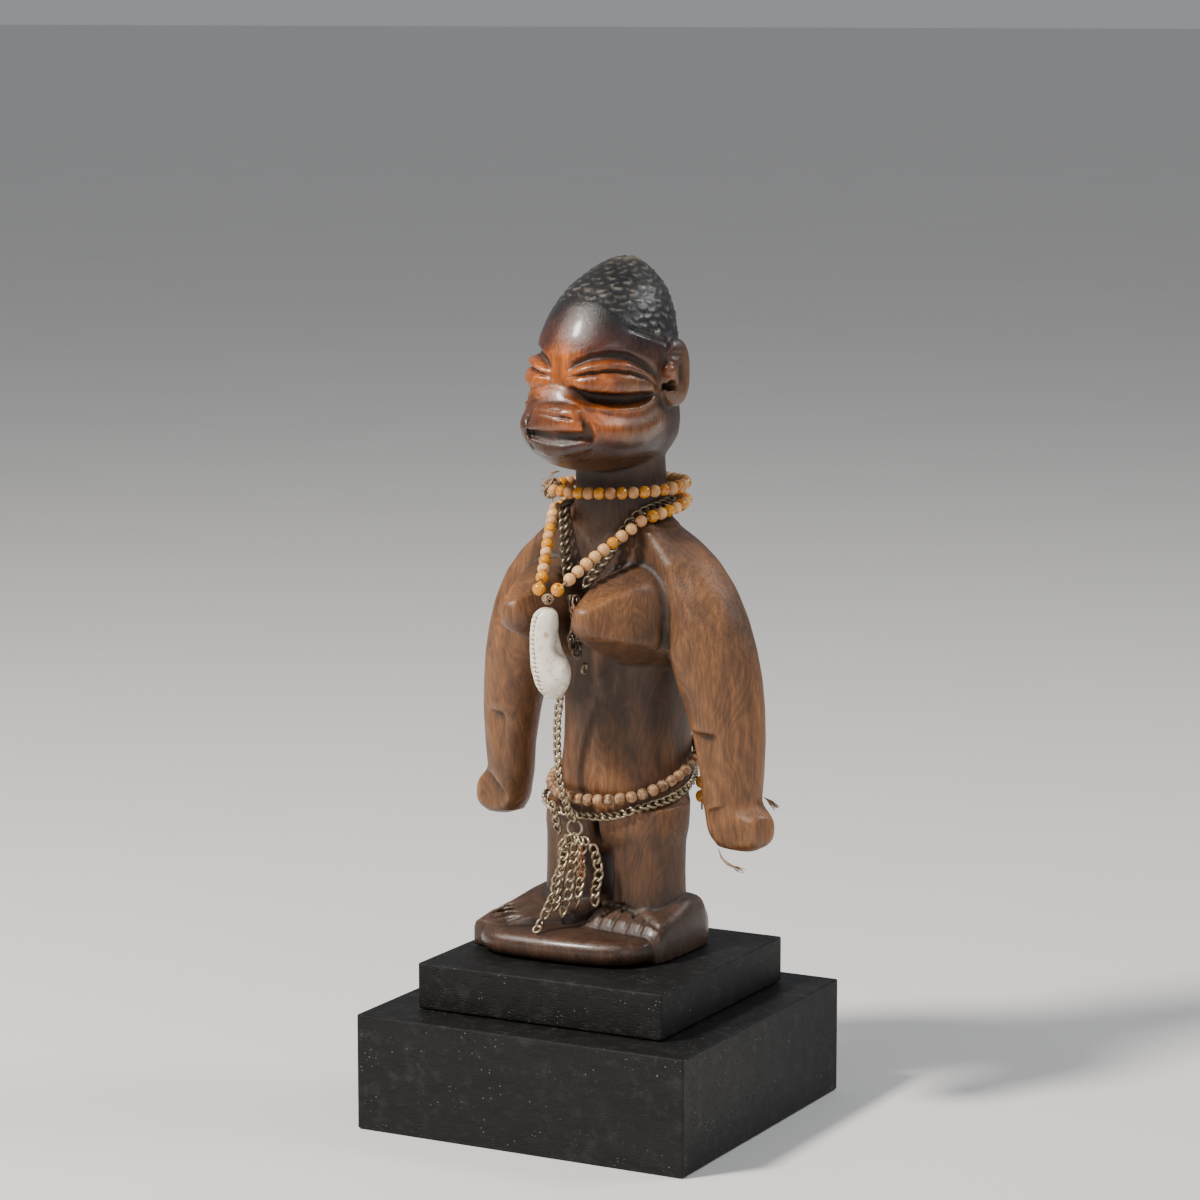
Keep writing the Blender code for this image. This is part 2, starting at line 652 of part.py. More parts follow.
def main():
    clear_scene()
    ebony = material("stained_plinth_wood", (0.03, 0.025, 0.022), 0.55)
    wood = material("carved_wood", (0.30, 0.15, 0.08), 0.5)
    steel = material("pin_steel", (0.55, 0.55, 0.56), 0.35, 1.0)
    clay = material("peach_beads", (0.72, 0.45, 0.27), 0.5)
    amber = material("amber_glass", (0.80, 0.42, 0.05), 0.2)
    shell = material("cowrie", (0.85, 0.80, 0.70), 0.3)
    brass = material("chain_metal", (0.45, 0.38, 0.26), 0.45, 1.0)
    copper = material("copper_wire", (0.70, 0.32, 0.20), 0.4, 1.0)
    fibre = material("cord_fibre", (0.45, 0.34, 0.22), 0.9)

    block("plinth_lower_block", ebony, LOWER_BLOCK, (0, 0), 0)
    upper = block("plinth_upper_block", ebony, UPPER_BLOCK, UPPER_BLOCK_PLACE, UPPER_BLOCK_BASE)
    figure = carved_figure(wood, steel)
    for side, name in ((1, "mount_pin_left"), (-1, "mount_pin_right")):
        pin_bar(name, steel, side, PIN_RADIUS, PIN_BELOW, PIN_ABOVE)
        pin_hole(side, steel, upper)

    dresser = Dresser(figure)
    laid_chain(dresser, "neck_chain", brass, NECK_CHAIN, CHAIN_RADIUS)
    dresser.cover(lump("chest_chain_knot", brass, CHEST_KNOT))
    for name, centre in zip(("amber_bead_right", "amber_bead_left"), AMBER_BEADS):
        dresser.cover(lump(name, amber, (centre, AMBER_HALVES), segments=12, rings=8))
    dresser.cover(lump("pendant_cord_knot", fibre, CORD_KNOT, PENDANT_PIVOT))
    dresser.cover(cowrie(shell))
    dresser.cover(lump("choker_knot", fibre, CHOKER_KNOT))
    laid_beads(dresser, "choker_beads", clay, CHOKER)
    laid_beads(dresser, "necklace_beads", clay, NECKLACE)
    laid_beads(dresser, "waist_beads", clay, WAIST_BEADS, True)
    laid_chain(dresser, "waist_chain", brass, WAIST_CHAIN, CHAIN_RADIUS, True)
    laid_chain(dresser, "belly_chain", brass, BELLY_CHAIN, CHAIN_RADIUS)
    laid_chain(dresser, "hip_chain", brass, HIP_CHAIN, CHAIN_RADIUS, pivot=HIP_CHAIN[0])
    dresser.cover(wire_ring("knot_loop_link", brass, KNOT_LOOP, 1.5, 0.4, (1, 0, 0)))
    dresser.cover(wire_ring("tassel_ring", brass, TASSEL_PIVOT, RING_RADIUS, RING_WIRE, (0.2, -1, 0)))
    for i, points in enumerate(TASSEL_STRANDS, 1):
        laid_chain(dresser, f"tassel_strand_{i}", brass, points, TASSEL_RADIUS, pivot=TASSEL_PIVOT)
    laid_chain(dresser, "copper_wire_twist", copper, TWIST, TWIST_RADIUS, pivot=TASSEL_PIVOT, spacing=1.6)
    chain_tube("hip_thread", fibre, [Vector(p) for p in HIP_THREAD], THREAD_RADIUS, pivot=HIP_THREAD[0])
    for name, centre in zip(("hip_bead_upper", "hip_bead_lower"), HIP_BEADS):
        lump(name, amber, (centre, AMBER_HALVES), HIP_THREAD[0], 12, 8)
    laid_chain(dresser, "chin_thread", fibre, CHIN_THREAD, THREAD_RADIUS, spacing=1.2)
    for name, points in zip(("hand_thread_long", "hand_thread_short"), HAND_THREADS):
        laid_chain(dresser, name, fibre, points, THREAD_RADIUS, spacing=1.4)


main()
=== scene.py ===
"""Looks of the carved fertility figure: sculpted wood, beads, linked chains, cowrie shell and plinth."""

import json
import math

import bmesh
import bpy
import numpy as np
from mathutils import Matrix, Vector
from mathutils.bvhtree import BVHTree


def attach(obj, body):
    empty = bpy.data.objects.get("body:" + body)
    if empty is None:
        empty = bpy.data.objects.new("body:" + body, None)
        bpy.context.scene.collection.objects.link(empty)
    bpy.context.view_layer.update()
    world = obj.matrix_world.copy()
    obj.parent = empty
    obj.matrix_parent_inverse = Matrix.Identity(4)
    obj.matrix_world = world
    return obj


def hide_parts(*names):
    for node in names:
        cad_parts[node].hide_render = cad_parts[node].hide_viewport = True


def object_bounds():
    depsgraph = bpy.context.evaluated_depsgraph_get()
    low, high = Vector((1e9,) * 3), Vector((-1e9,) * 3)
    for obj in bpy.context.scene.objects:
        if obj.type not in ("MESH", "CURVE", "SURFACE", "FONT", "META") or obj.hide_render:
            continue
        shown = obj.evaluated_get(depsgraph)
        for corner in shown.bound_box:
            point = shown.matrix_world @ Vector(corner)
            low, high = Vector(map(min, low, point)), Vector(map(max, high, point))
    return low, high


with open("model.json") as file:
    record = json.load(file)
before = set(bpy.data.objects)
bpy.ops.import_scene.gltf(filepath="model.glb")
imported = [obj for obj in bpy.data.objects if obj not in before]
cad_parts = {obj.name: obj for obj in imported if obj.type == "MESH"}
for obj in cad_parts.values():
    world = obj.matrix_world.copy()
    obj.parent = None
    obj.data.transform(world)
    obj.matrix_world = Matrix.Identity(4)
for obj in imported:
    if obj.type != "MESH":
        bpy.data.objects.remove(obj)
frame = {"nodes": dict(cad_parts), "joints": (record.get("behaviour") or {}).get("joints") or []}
CAD_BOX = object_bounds()

MM = 0.001
ROOT = "figure_on_plinth"
RNG = np.random.default_rng(11)

# Sculpting grid, in millimetres
CELL = 0.5
SHELL_CELL = 0.22
# How wide a neighbourhood tells an edge from a hollow
EDGE_REACH = 1.6
SHELL_EDGE_REACH = 0.7
FIGURE_TRIANGLES = 190_000

# ---------------------------------------------------------------- the figure's own frame

# The point of the tassel's hinge, in the figure's millimetres
TASSEL_PIVOT = Vector((-1.0, -19.6, 35.0))


def figure_frame():
    """From the figure's millimetres (u left, v back, w up from its sole) to the world's metres.

    The tassel's hinge lies along -v through TASSEL_PIVOT, and ties the two frames together.
    """
    hinge = next(j for j in frame["joints"] if j["name"] == "tassel_sway")
    back = -Vector(hinge["axis"]).normalized()
    left = back.cross(Vector((0, 0, 1)))
    turn = Matrix((left, back, (0, 0, 1))).transposed()
    origin = Vector(hinge["pos_m"]) - turn @ (TASSEL_PIVOT * MM)
    return Matrix.Translation(origin) @ turn.to_4x4() @ Matrix.Scale(MM, 4)


FIGURE = figure_frame()

# ---------------------------------------------------------------- measures shared with the CAD

# Horizontal sections of the figure: (w, centre v, half width, half depth, squareness)
HEAD = [
    (191.6, 1.6, 2.2, 2.6, 2.0),
    (190.4, 1.0, 4.8, 5.4, 2.0),
    (188.0, 0.1, 8.2, 9.3, 2.0),
    (183.5, -1.8, 12.6, 14.6, 2.0),
    (179.3, -3.2, 15.0, 17.4, 2.0),
    (175.0, -4.4, 16.4, 19.2, 2.05),
    (170.5, -5.4, 17.3, 20.6, 2.1),
    (165.6, -6.0, 17.6, 21.6, 2.2),
    (160.0, -6.2, 17.2, 21.4, 2.3),
    (155.0, -7.0, 16.6, 21.4, 2.35),
    (151.0, -8.2, 16.6, 23.8, 2.45),
    (147.0, -9.0, 16.8, 25.0, 2.5),
    (142.5, -9.0, 16.2, 24.8, 2.5),
    (138.4, -8.4, 14.2, 22.0, 2.4),
    (135.2, -7.6, 10.6, 17.0, 2.2),
    (134.0, -7.2, 7.0, 12.0, 2.0),
]
TORSO = [
    (143.0, -1.0, 12.2, 12.4, 2.0),
    (128.0, 0.0, 12.5, 12.7, 2.0),
    (122.0, 0.0, 13.2, 12.8, 2.0),
    (117.0, 0.0, 17.0, 12.4, 2.0),
    (110.0, 0.0, 23.0, 12.4, 2.1),
    (104.0, 0.2, 26.0, 13.0, 2.2),
    (96.0, 0.8, 25.5, 14.0, 2.2),
    (88.0, 1.6, 22.5, 14.6, 2.2),
    (80.0, 2.4, 19.6, 15.2, 2.1),
    (72.0, 2.8, 18.0, 16.2, 2.1),
    (64.0, 3.0, 17.4, 17.2, 2.1),
    (56.0, 3.0, 17.2, 18.2, 2.1),
    (50.0, 2.6, 17.4, 19.0, 2.1),
    (45.5, 1.8, 18.2, 18.4, 2.1),
    (42.5, 0.6, 19.2, 15.6, 2.2),
    (38.0, -0.8, 20.6, 13.4, 2.3),
    (33.0, -1.6, 20.4, 12.0, 2.4),
    (29.0, -2.0, 17.0, 9.6, 2.2),
    (26.0, -2.2, 12.0, 5.0, 2.0),
]
# Arm and leg sections: (w, centre u, centre v, half along, half across, squareness)
ARM = [
    (118.0, 11.0, 0.0, 7.0, 8.0, 2.0),
    (114.5, 16.0, 0.0, 8.6, 9.6, 2.0),
    (109.0, 21.0, -0.3, 10.4, 10.8, 2.1),
    (102.0, 25.6, -0.8, 11.6, 11.4, 2.2),
    (94.0, 29.4, -1.2, 12.2, 11.2, 2.2),
    (86.0, 32.2, -1.5, 12.4, 10.6, 2.2),
    (78.0, 34.6, -1.5, 12.0, 9.8, 2.2),
    (70.0, 36.8, -1.4, 10.9, 8.6, 2.2),
    (62.0, 38.2, -1.2, 9.9, 7.8, 2.3),
    (52.0, 39.0, -1.0, 8.8, 6.8, 2.4),
    (44.0, 38.9, -0.8, 8.1, 6.3, 2.4),
    (36.0, 39.8, -0.5, 6.8, 5.6, 2.4),
    (33.0, 40.2, -0.5, 4.6, 4.0, 2.2),
]
ARM_TURN = math.radians(34)
LEG = [
    (40.0, 10.8, -1.6, 9.8, 11.0, 2.2),
    (32.0, 11.6, -2.2, 9.6, 10.2, 2.3),
    (22.0, 11.8, -2.4, 9.6, 9.6, 2.3),
    (13.0, 11.8, -2.4, 9.8, 9.8, 2.3),
    (5.0, 11.8, -2.2, 10.4, 10.6, 2.3),
]
# Breast, a blunt faceted cone pointing forwards: (v, centre u, centre w, half width, half height)
BREAST = [
    (-2.0, 14.4, 93.5, 12.6, 14.8, 2.3),
    (-12.0, 13.8, 94.2, 12.2, 13.8, 2.3),
    (-20.0, 13.2, 94.8, 10.2, 11.4, 2.3),
    (-27.0, 12.7, 95.2, 7.4, 8.2, 2.3),
    (-32.0, 12.4, 95.6, 5.2, 5.8, 2.2),
    (-34.2, 12.3, 95.8, 3.4, 3.8, 2.0),
    (-35.0, 12.3, 95.8, 1.6, 1.8, 2.0),
]
SLAB = [
    (-28.0, -29.0),
    (-18.0, -38.4),
    (0.0, -37.0),
    (12.0, -34.4),
    (21.5, -30.0),
    (26.0, -23.0),
    (26.6, -10.0),
    (25.0, 4.0),
    (19.0, 13.4),
    (-19.0, 13.4),
    (-26.0, 4.0),
    (-29.0, -14.0),
]
SLAB_HEIGHT = 7.0
SLAB_ROUNDING = 3.2
FOOT_SQUARENESS = 6
# Feet as upright sections: (v, centre u, half width, top w)
LEFT_FOOT = [
    (-18.2, 13.0, 13.0, 8.0),
    (-16.6, 13.2, 13.6, 10.0),
    (-13.4, 13.2, 13.6, 11.8),
    (-8.0, 13.0, 13.2, 13.0),
    (0.0, 12.6, 12.6, 15.6),
    (8.0, 12.2, 11.4, 14.4),
    (12.2, 12.0, 9.6, 10.0),
]
RIGHT_FOOT = [
    (-31.0, -22.4, 5.8, 7.4),
    (-25.0, -19.4, 8.4, 9.6),
    (-16.0, -15.8, 12.2, 11.2),
    (-8.0, -14.0, 13.2, 13.6),
    (0.0, -12.8, 12.6, 15.6),
    (8.0, -12.2, 11.4, 14.4),
    (12.2, -12.0, 9.6, 10.0),
]

# ---------------------------------------------------------------- sculpting


def smooth_min(a, b, blend):
    if blend <= 0:
        return np.minimum(a, b)
    part = np.maximum(blend - np.abs(a - b), 0) / blend
    return np.minimum(a, b) - part * part * blend / 4


def smooth_max(a, b, blend):
    return -smooth_min(-a, -b, blend)


def smoothstep(low, high, x):
    t = np.clip((x - low) / (high - low), 0, 1)
    return t * t * (3 - 2 * t)


class Clay:
    """Signed distances on a grid in the figure's millimetres, negative inside the wood."""

    def __init__(self, low, high, cell):
        self.cell = cell
        self.axes = [np.arange(a, b, cell, dtype=np.float32) for a, b in zip(low, high)]
        self.field = np.full([len(a) for a in self.axes], 9.0, np.float32)

    def window(self, low, high):
        cuts = tuple(slice(*np.searchsorted(axis, (a, b))) for axis, a, b in zip(self.axes, low, high))
        grid = np.meshgrid(*(a[c] for a, c in zip(self.axes, cuts)), indexing="ij", sparse=True)
        return cuts, grid

    def near(self, shape, blend):
        """The part of the grid that a shape reaches, and the shape's distances there."""
        low, high, distance = shape
        margin = blend + 2 * self.cell
        cuts, grid = self.window(np.subtract(low, margin), np.add(high, margin))
        return cuts, distance(*grid)

    def add(self, shape, blend=1.0):
        cuts, distance = self.near(shape, blend)
        self.field[cuts] = smooth_min(self.field[cuts], distance, blend)

    def cut(self, shape, blend=0.3):
        cuts, distance = self.near(shape, blend)
        self.field[cuts] = smooth_max(self.field[cuts], -distance, blend)

    def emboss(self, low, high, rise):
        """Moves the surface out by rise(u, v, w), or in where that is negative."""
        cuts, grid = self.window(low, high)
        self.field[cuts] -= rise(*grid).astype(np.float32)

    def blurred(self, radius):
        """Field averaged over a cube; above 0 at the surface on an edge, below 0 in a hollow."""
        result = np.clip(self.field, -1, 1)
        reach = max(1, round(radius / self.cell))
        for _ in range(2):
            for axis in range(3):
                size = result.shape[axis]
                total = np.cumsum(result, axis=axis, dtype=np.float64)
                high = np.clip(np.arange(size) + reach, 0, size - 1)
                low = np.clip(np.arange(size) - reach - 1, 0, size - 1)
                span = (high - low).astype(np.float64)
                shape = [1, 1, 1]
                shape[axis] = size
                ends = np.take(total, high, axis) - np.take(total, low, axis)
                result = (ends / span.reshape(shape)).astype(np.float32)
        return result

    def sample(self, field, points):
        """Values of a field at points, by trilinear interpolation."""
        place = [(points[:, k] - self.axes[k][0]) / self.cell for k in range(3)]
        base = [np.clip(p.astype(int), 0, len(a) - 2) for p, a in zip(place, self.axes)]
        part = [np.clip(p - b, 0, 1) for p, b in zip(place, base)]
        value = np.zeros(len(points))
        for corner in np.ndindex(2, 2, 2):
            weight = np.ones(len(points))
            for k in range(3):
                weight *= part[k] if corner[k] else 1 - part[k]
            value += weight * field[tuple(b + c for b, c in zip(base, corner))]
        return value

    def surface(self):
        """Points and quads of the zero level, by surface nets."""
        inside = self.field < 0
        size = [n - 1 for n in inside.shape]
        count = np.zeros(size, np.uint8)
        for corner in np.ndindex(2, 2, 2):
            count += inside[tuple(slice(c, c + n) for c, n in zip(corner, size))]
        active = (count > 0) & (count < 8)
        cells = np.argwhere(active)
        number = np.full(size, -1, np.int64)
        number[active] = np.arange(len(cells))
        total = np.zeros((len(cells), 3))
        hits = np.zeros(len(cells))
        for corner in np.ndindex(2, 2, 2):
            for axis in range(3):
                if corner[axis]:
                    continue
                other = list(corner)
                other[axis] = 1
                here = self.field[tuple((cells + corner).T)]
                there = self.field[tuple((cells + other).T)]
                crossing = (here < 0) != (there < 0)
                step = np.where(crossing, here / np.where(crossing, here - there, 1), 0)
                spot = np.tile(np.array(corner, float), (len(cells), 1))
                spot[:, axis] += step
                total += spot * crossing[:, None]
                hits += crossing
        low = np.array([a[0] for a in self.axes])
        points = low + (cells + total / hits[:, None]) * self.cell
        quads = []
        for axis in range(3):
            side, over = [k for k in range(3) if k != axis]
            first = [slice(1, -1)] * 3
            second = [slice(1, -1)] * 3
            first[axis] = slice(0, -1)
            second[axis] = slice(1, None)
            here = inside[tuple(first)]
            crossing = here != inside[tuple(second)]
            spots = np.argwhere(crossing)
            flip = ~here[crossing]
            for k in (side, over):
                spots[:, k] += 1
            ring = []
            for a, b in ((-1, -1), (0, -1), (0, 0), (-1, 0)):
                cell = spots.copy()
                cell[:, side] += a
                cell[:, over] += b
                ring.append(number[tuple(cell.T)])
            quad = np.stack(ring, 1)
            if axis == 1:
                flip = ~flip
            quad[flip] = quad[flip][:, ::-1]
            quads.append(quad)
        return points, np.concatenate(quads)


SECTION_STEP = 0.5


def even_sections(sections, soften):
    """Section values at fine even steps, softened so that no station shows as a ring."""
    rows = np.array(sorted(sections), float)
    steps = np.arange(rows[0, 0], rows[-1, 0] + 0.01, SECTION_STEP)
    spread = max(1, round(soften / SECTION_STEP))
    kernel = np.hanning(2 * spread + 3)[1:-1]
    kernel /= kernel.sum()
    columns = []
    for column in rows[:, 1:].T:
        fine = np.interp(steps, rows[:, 0], column)
        slope_low, slope_high = fine[1] - fine[0], fine[-1] - fine[-2]
        before = fine[0] + slope_low * np.arange(-spread, 0)
        after = fine[-1] + slope_high * np.arange(1, spread + 1)
        columns.append(np.convolve(np.concatenate([before, fine, after]), kernel, "valid"))
    return steps, columns


def loft(sections, side=1, turn=0.0, soften=2.5, upright=True):
    """Mass from sections (place, centre, centre, half, half, squareness), stacked along w or along v."""
    steps, (centre_a, centre_b, half_a, half_b, square) = even_sections(sections, soften)
    cos, sin = math.cos(turn), math.sin(turn)
    reach = max(half_a.max(), half_b.max()) + 1
    if upright:
        low = (min(side * centre_a) - reach, min(centre_b) - reach, steps[0])
        high = (max(side * centre_a) + reach, max(centre_b) + reach, steps[-1])
    else:
        low = (min(side * centre_a) - reach, steps[0], min(centre_b) - reach)
        high = (max(side * centre_a) + reach, steps[-1], max(centre_b) + reach)

    def distance(u, v, w):
        along, across = (w, v) if upright else (v, w)
        columns = (centre_a, centre_b, half_a, half_b, square)
        a, b, ha, hb, power = (np.interp(along, steps, c).astype(np.float32) for c in columns)
        x = side * u - a
        y = across - b
        x, y = np.abs((x * cos + y * sin) / ha), np.abs((y * cos - x * sin) / hb)
        ring = (x**power + y**power + 1e-9) ** (1 / power)
        wall = (ring - 1) * np.minimum(ha, hb)
        ends = np.maximum(along - steps[-1], steps[0] - along)
        return np.maximum(wall, ends)

    return low, high, distance


def stack(sections, soften=2.5):
    """Upright mass centred on u = 0 from (w, centre v, half width, half depth, squareness)."""
    return loft([(w, 0.0, v, a, b, n) for w, v, a, b, n in sections], soften=soften)


def ball(centre, halves, power=2.0):
    """Ellipsoid, or a squarer block with a higher power."""
    halves = np.array(halves, float)
    reach = halves.max() + 0.5

    def distance(u, v, w):
        parts = (np.abs((x - c) / half) ** power for x, c, half in zip((u, v, w), centre, halves))
        size = sum(parts) ** (1 / power)
        return (size - 1) * halves.min()

    return np.subtract(centre, reach), np.add(centre, reach), distance


def bar(points, radii):
    """Round bar through points, its radius changing from one to the next."""
    points = np.array(points, float)
    radii = np.broadcast_to(np.array(radii, float), len(points))
    reach = radii.max() + 0.2

    def distance(u, v, w):
        best = None
        for a, b, ra, rb in zip(points, points[1:], radii, radii[1:]):
            run = b - a
            t = ((u - a[0]) * run[0] + (v - a[1]) * run[1] + (w - a[2]) * run[2]) / run.dot(run)
            t = np.clip(t, 0, 1)
            gap = (u - a[0] - t * run[0]) ** 2 + (v - a[1] - t * run[1]) ** 2 + (w - a[2] - t * run[2]) ** 2
            here = np.sqrt(gap) - (ra + (rb - ra) * t)
            best = here if best is None else np.minimum(best, here)
        return best

    return points.min(0) - reach, points.max(0) + reach, distance


def foot_mass(sections):
    """Wedge of a foot: flat sides, rounded shoulders and a top that falls towards the toes."""
    rows = np.array(sections, float)

    def distance(u, v, w):
        centre, half, top = (np.interp(v, rows[:, 0], rows[:, k]) for k in (1, 2, 3))
        x = np.abs(u - centre) / half
        y = np.abs(w) / top
        size = (x**FOOT_SQUARENESS + y**FOOT_SQUARENESS) ** (1 / FOOT_SQUARENESS)
        wall = (size - 1) * np.minimum(half, top)
        ends = np.maximum(v - rows[-1, 0], rows[0, 0] - v)
        return np.maximum(wall, ends)

    low = ((rows[:, 1] - rows[:, 2]).min(), rows[0, 0], 0)
    high = ((rows[:, 1] + rows[:, 2]).max(), rows[-1, 0], rows[:, 3].max())
    return low, high, distance


def slab_mass():
    """Foot slab: the outline as a convex prism with rounded upper and lower edges."""
    corners = np.array(SLAB, float)
    following = np.roll(corners, -1, axis=0)

    def distance(u, v, w):
        inner = None
        for a, b in zip(corners, following):
            run = (b - a) / np.linalg.norm(b - a)
            gap = (u - a[0]) * run[1] - (v - a[1]) * run[0]
            inner = gap if inner is None else smooth_max(inner, gap, 5.0)
        height = np.abs(w - SLAB_HEIGHT / 2) - SLAB_HEIGHT / 2
        x = np.maximum(inner + SLAB_ROUNDING, 0)
        y = np.maximum(height + SLAB_ROUNDING, 0)
        corner = np.minimum(np.maximum(inner, height) + SLAB_ROUNDING, 0)
        return np.sqrt(x * x + y * y) - SLAB_ROUNDING + corner

    return (*corners.min(0), 0), (*corners.max(0), SLAB_HEIGHT), distance


# Lines of the face by angle from the front, in degrees, with their heights w
FACE_ANGLE = (0, 13, 24, 39, 54, 71, 90)
BROW = (160.5, 163.0, 164.6, 165.4, 164.8, 162.2, 158.8)
SLIT = (159.8, 160.6, 161.6, 162.3, 161.7, 159.8, 157.0)
LID_FOOT = (158.2, 157.6, 156.8, 156.3, 156.1, 156.0, 155.6)
POUCH = (156.6, 154.9, 153.4, 152.4, 152.2, 152.8, 154.8)
CHEEK = (153.6, 152.4, 151.4, 149.8, 148.8, 149.2, 151.4)


def bump(x):
    """1 at x = 0, falling smoothly to 0 at x = 1 and -1."""
    return np.where(np.abs(x) < 1, (1 - x * x) ** 2, 0)


def between(low, high, x):
    """1 midway between low and high, 0 at both."""
    middle, half = (low + high) / 2, np.maximum((high - low) / 2, 0.05)
    return np.where(np.abs(x - middle) < half, 1 - ((x - middle) / half) ** 2, 0)


def face_relief(u, v, w):
    """Eyelids, pouches and cheeks: how far the face stands out from the plain head."""
    angle = np.degrees(np.arctan2(np.abs(u), -(v + 6.0)))
    brow, slit, foot, pouch, cheek = (
        np.interp(angle, FACE_ANGLE, line) for line in (BROW, SLIT, LID_FOOT, POUCH, CHEEK)
    )
    eye = smoothstep(4, 17, angle) * (1 - smoothstep(78, 92, angle))
    lens = 0.35 + 0.65 * np.sin(np.radians(np.clip(angle, 0, 90) * 2))
    rise = -1.3 * bump((w - brow - 0.9) / 2.2)
    rise += 1.7 * lens * np.sqrt(between(slit - 0.3, brow, w))
    rise += 2.4 * lens * np.sqrt(between(foot - 0.4, slit + 0.3, w))
    rise -= 1.3 * bump((w - slit) / 0.65)
    recess = 3.0 * (1 - 0.7 * smoothstep(-2, -9, u))
    rise -= recess * lens * np.sqrt(between(pouch - 0.2, foot + 0.2, w))
    rise += 0.8 * bump((w - pouch + 0.5) / 1.0)
    rise *= eye
    sides = smoothstep(14, 26, angle) * (1 - smoothstep(84, 108, angle))
    rise += 1.3 * sides * bump((w - cheek + 3.6) / 5.0) * smoothstep(-16, -4, u)
    rise -= 0.7 * bump((w - 157.0) / 2.4) * (1 - smoothstep(10, 22, angle))
    return rise


def sculpt_face(clay):
    """Lower face as one bulb, with the lips, their corners and the open mouth cut in it."""
    clay.add(ball((0.2, -23.6, 146.2), (12.4, 9.6, 9.4)), 1.8)
    clay.emboss((-24, -45, 140), (24, 6, 174), face_relief)
    # bridge of the nose and the blunt upper lip, with cuts across its front
    clay.add(ball((-3.0, -22.8, 153.6), (9.4, 7.2, 5.4), power=2.4), 1.6)
    clay.add(ball((2.2, -26.6, 149.3), (8.6, 7.8, 4.3), power=3.4), 0.7)
    clay.cut(bar([(-5.0, -33.6, 151.0), (-1, -34.6, 151.0), (3, -34.6, 150.5), (8.8, -33.0, 149.8)],
                 (0.3, 0.6, 0.65, 0.4)), 0.4)
    clay.cut(bar([(-3.4, -33.4, 152.6), (0.6, -33.9, 152.5), (4.6, -33.6, 152.1)], 0.3), 0.5)
    clay.cut(bar([(-6.4, -31.8, 151.4), (-7.0, -31.6, 148.4), (-6.6, -31.6, 145.4)], (0.3, 0.5, 0.7)), 0.8)
    clay.cut(bar([(10.4, -31.0, 152.0), (11.2, -30.8, 149.6), (11.8, -30.0, 147.0), (12.0, -29.2, 144.8)],
                 (0.4, 0.9, 1.3, 1.3)), 0.8)
    clay.cut(bar([(-6.4, -32.0, 145.2), (-2, -34.0, 144.6), (3, -34.4, 144.4), (8, -32.6, 144.6),
                  (11.8, -29.8, 145.4)], (0.8, 1.5, 1.8, 1.7, 1.3)), 0.9)
    clay.cut(bar([(-6.4, -31.8, 145.2), (-5.6, -31.6, 141.2)], (0.8, 0.4)), 0.8)
    clay.add(bar([(-3.8, -31.0, 141.2), (0, -32.2, 140.8), (5, -31.6, 141.0), (10.4, -28.8, 142.3)],
                 (1.0, 1.6, 1.6, 1.0)), 1.0)


def sculpt_ear(clay, side):
    """C-shaped ear: a raised plate with a slot below its upper lobe and a hole behind the cheek."""
    clay.add(ball((side * 17.2, 1.0, 160.4), (2.9, 5.6, 9.3), power=2.5), 0.8)
    clay.cut(bar([(side * 20.2, -6.0, 166.0), (side * 20.6, 3.4, 165.2)], (1.6, 1.1)), 0.4)
    clay.cut(ball((side * 20.8, 1.4, 160.0), (2.0, 1.9, 4.6), power=2.4), 0.6)
    clay.cut(bar([(side * 16.0, -3.0, 157.0), (side * 21.0, -2.0, 157.2)], 1.5), 0.4)
    clay.add(ball((side * 18.8, -3.6, 161.4), (1.9, 1.8, 2.0)), 0.6)
    clay.cut(bar([(side * 14.0, -17.0, 173.6), (side * 16.6, -10.6, 171.6), (side * 17.8, -3.4, 169.0)],
                 (0.3, 0.8, 0.8)), 0.4)


def sculpt_feet(clay):
    clay.add(slab_mass(), 0.6)
    clay.add(foot_mass(LEFT_FOOT), 0.8)
    clay.add(foot_mass(RIGHT_FOOT), 0.8)
    # a ridge behind the left toes, the line cut below it, the grooves between them and their holes
    clay.add(bar([(1.0, -8.6, 11.8), (9, -9.2, 12.4), (17, -11.2, 11.8), (24.4, -14.0, 9.6)], 1.0), 1.0)
    clay.cut(bar([(0.0, -10.8, 12.4), (9, -11.6, 12.9), (17, -13.6, 12.2), (25.0, -16.4, 9.8)], 0.6), 0.5)
    for u in (5.6, 10.4, 15.2, 20.2):
        top = -11.2 - 0.011 * u * u
        groove = [(u, -19.0, 7.2), (u, -16.8, 9.8), (u, -14.6, 11.2), (u, top, 12.3)]
        clay.cut(bar(groove, (0.4, 0.65, 0.65, 0.5)), 0.5)
        clay.cut(ball((u, top + 0.3, 12.0), (0.85, 0.85, 2.2)), 0.3)
    # leaf-shaped cuts for the right toes
    for i in range(5):
        u, v, w = -27.5 + 2.3 * i, -24.5 - 2.2 * i, 8.6 - 0.25 * i
        leaf = [(u, v, w), (u + 2.6, v + 2.6, w + 0.5), (u + 5.4, v + 5.2, w + 1.1)]
        clay.cut(bar(leaf, (0.3, 1.3, 0.3)), 0.4)
    clay.cut(bar([(-5.0, -17.8, 10.6), (-10.0, -23.6, 9.8), (-15.0, -29.6, 8.6)], (0.3, 0.5, 0.2)), 0.4)
    # a slot between the feet and one between the legs
    clay.cut(bar([(0, -17.0, 9.4), (0, 14.0, 11.0)], (0.9, 1.3)), 1.0)
    clay.cut(ball((1.2, -16.5, 29.0), (1.4, 6.5, 9.5), power=4), 0.9)


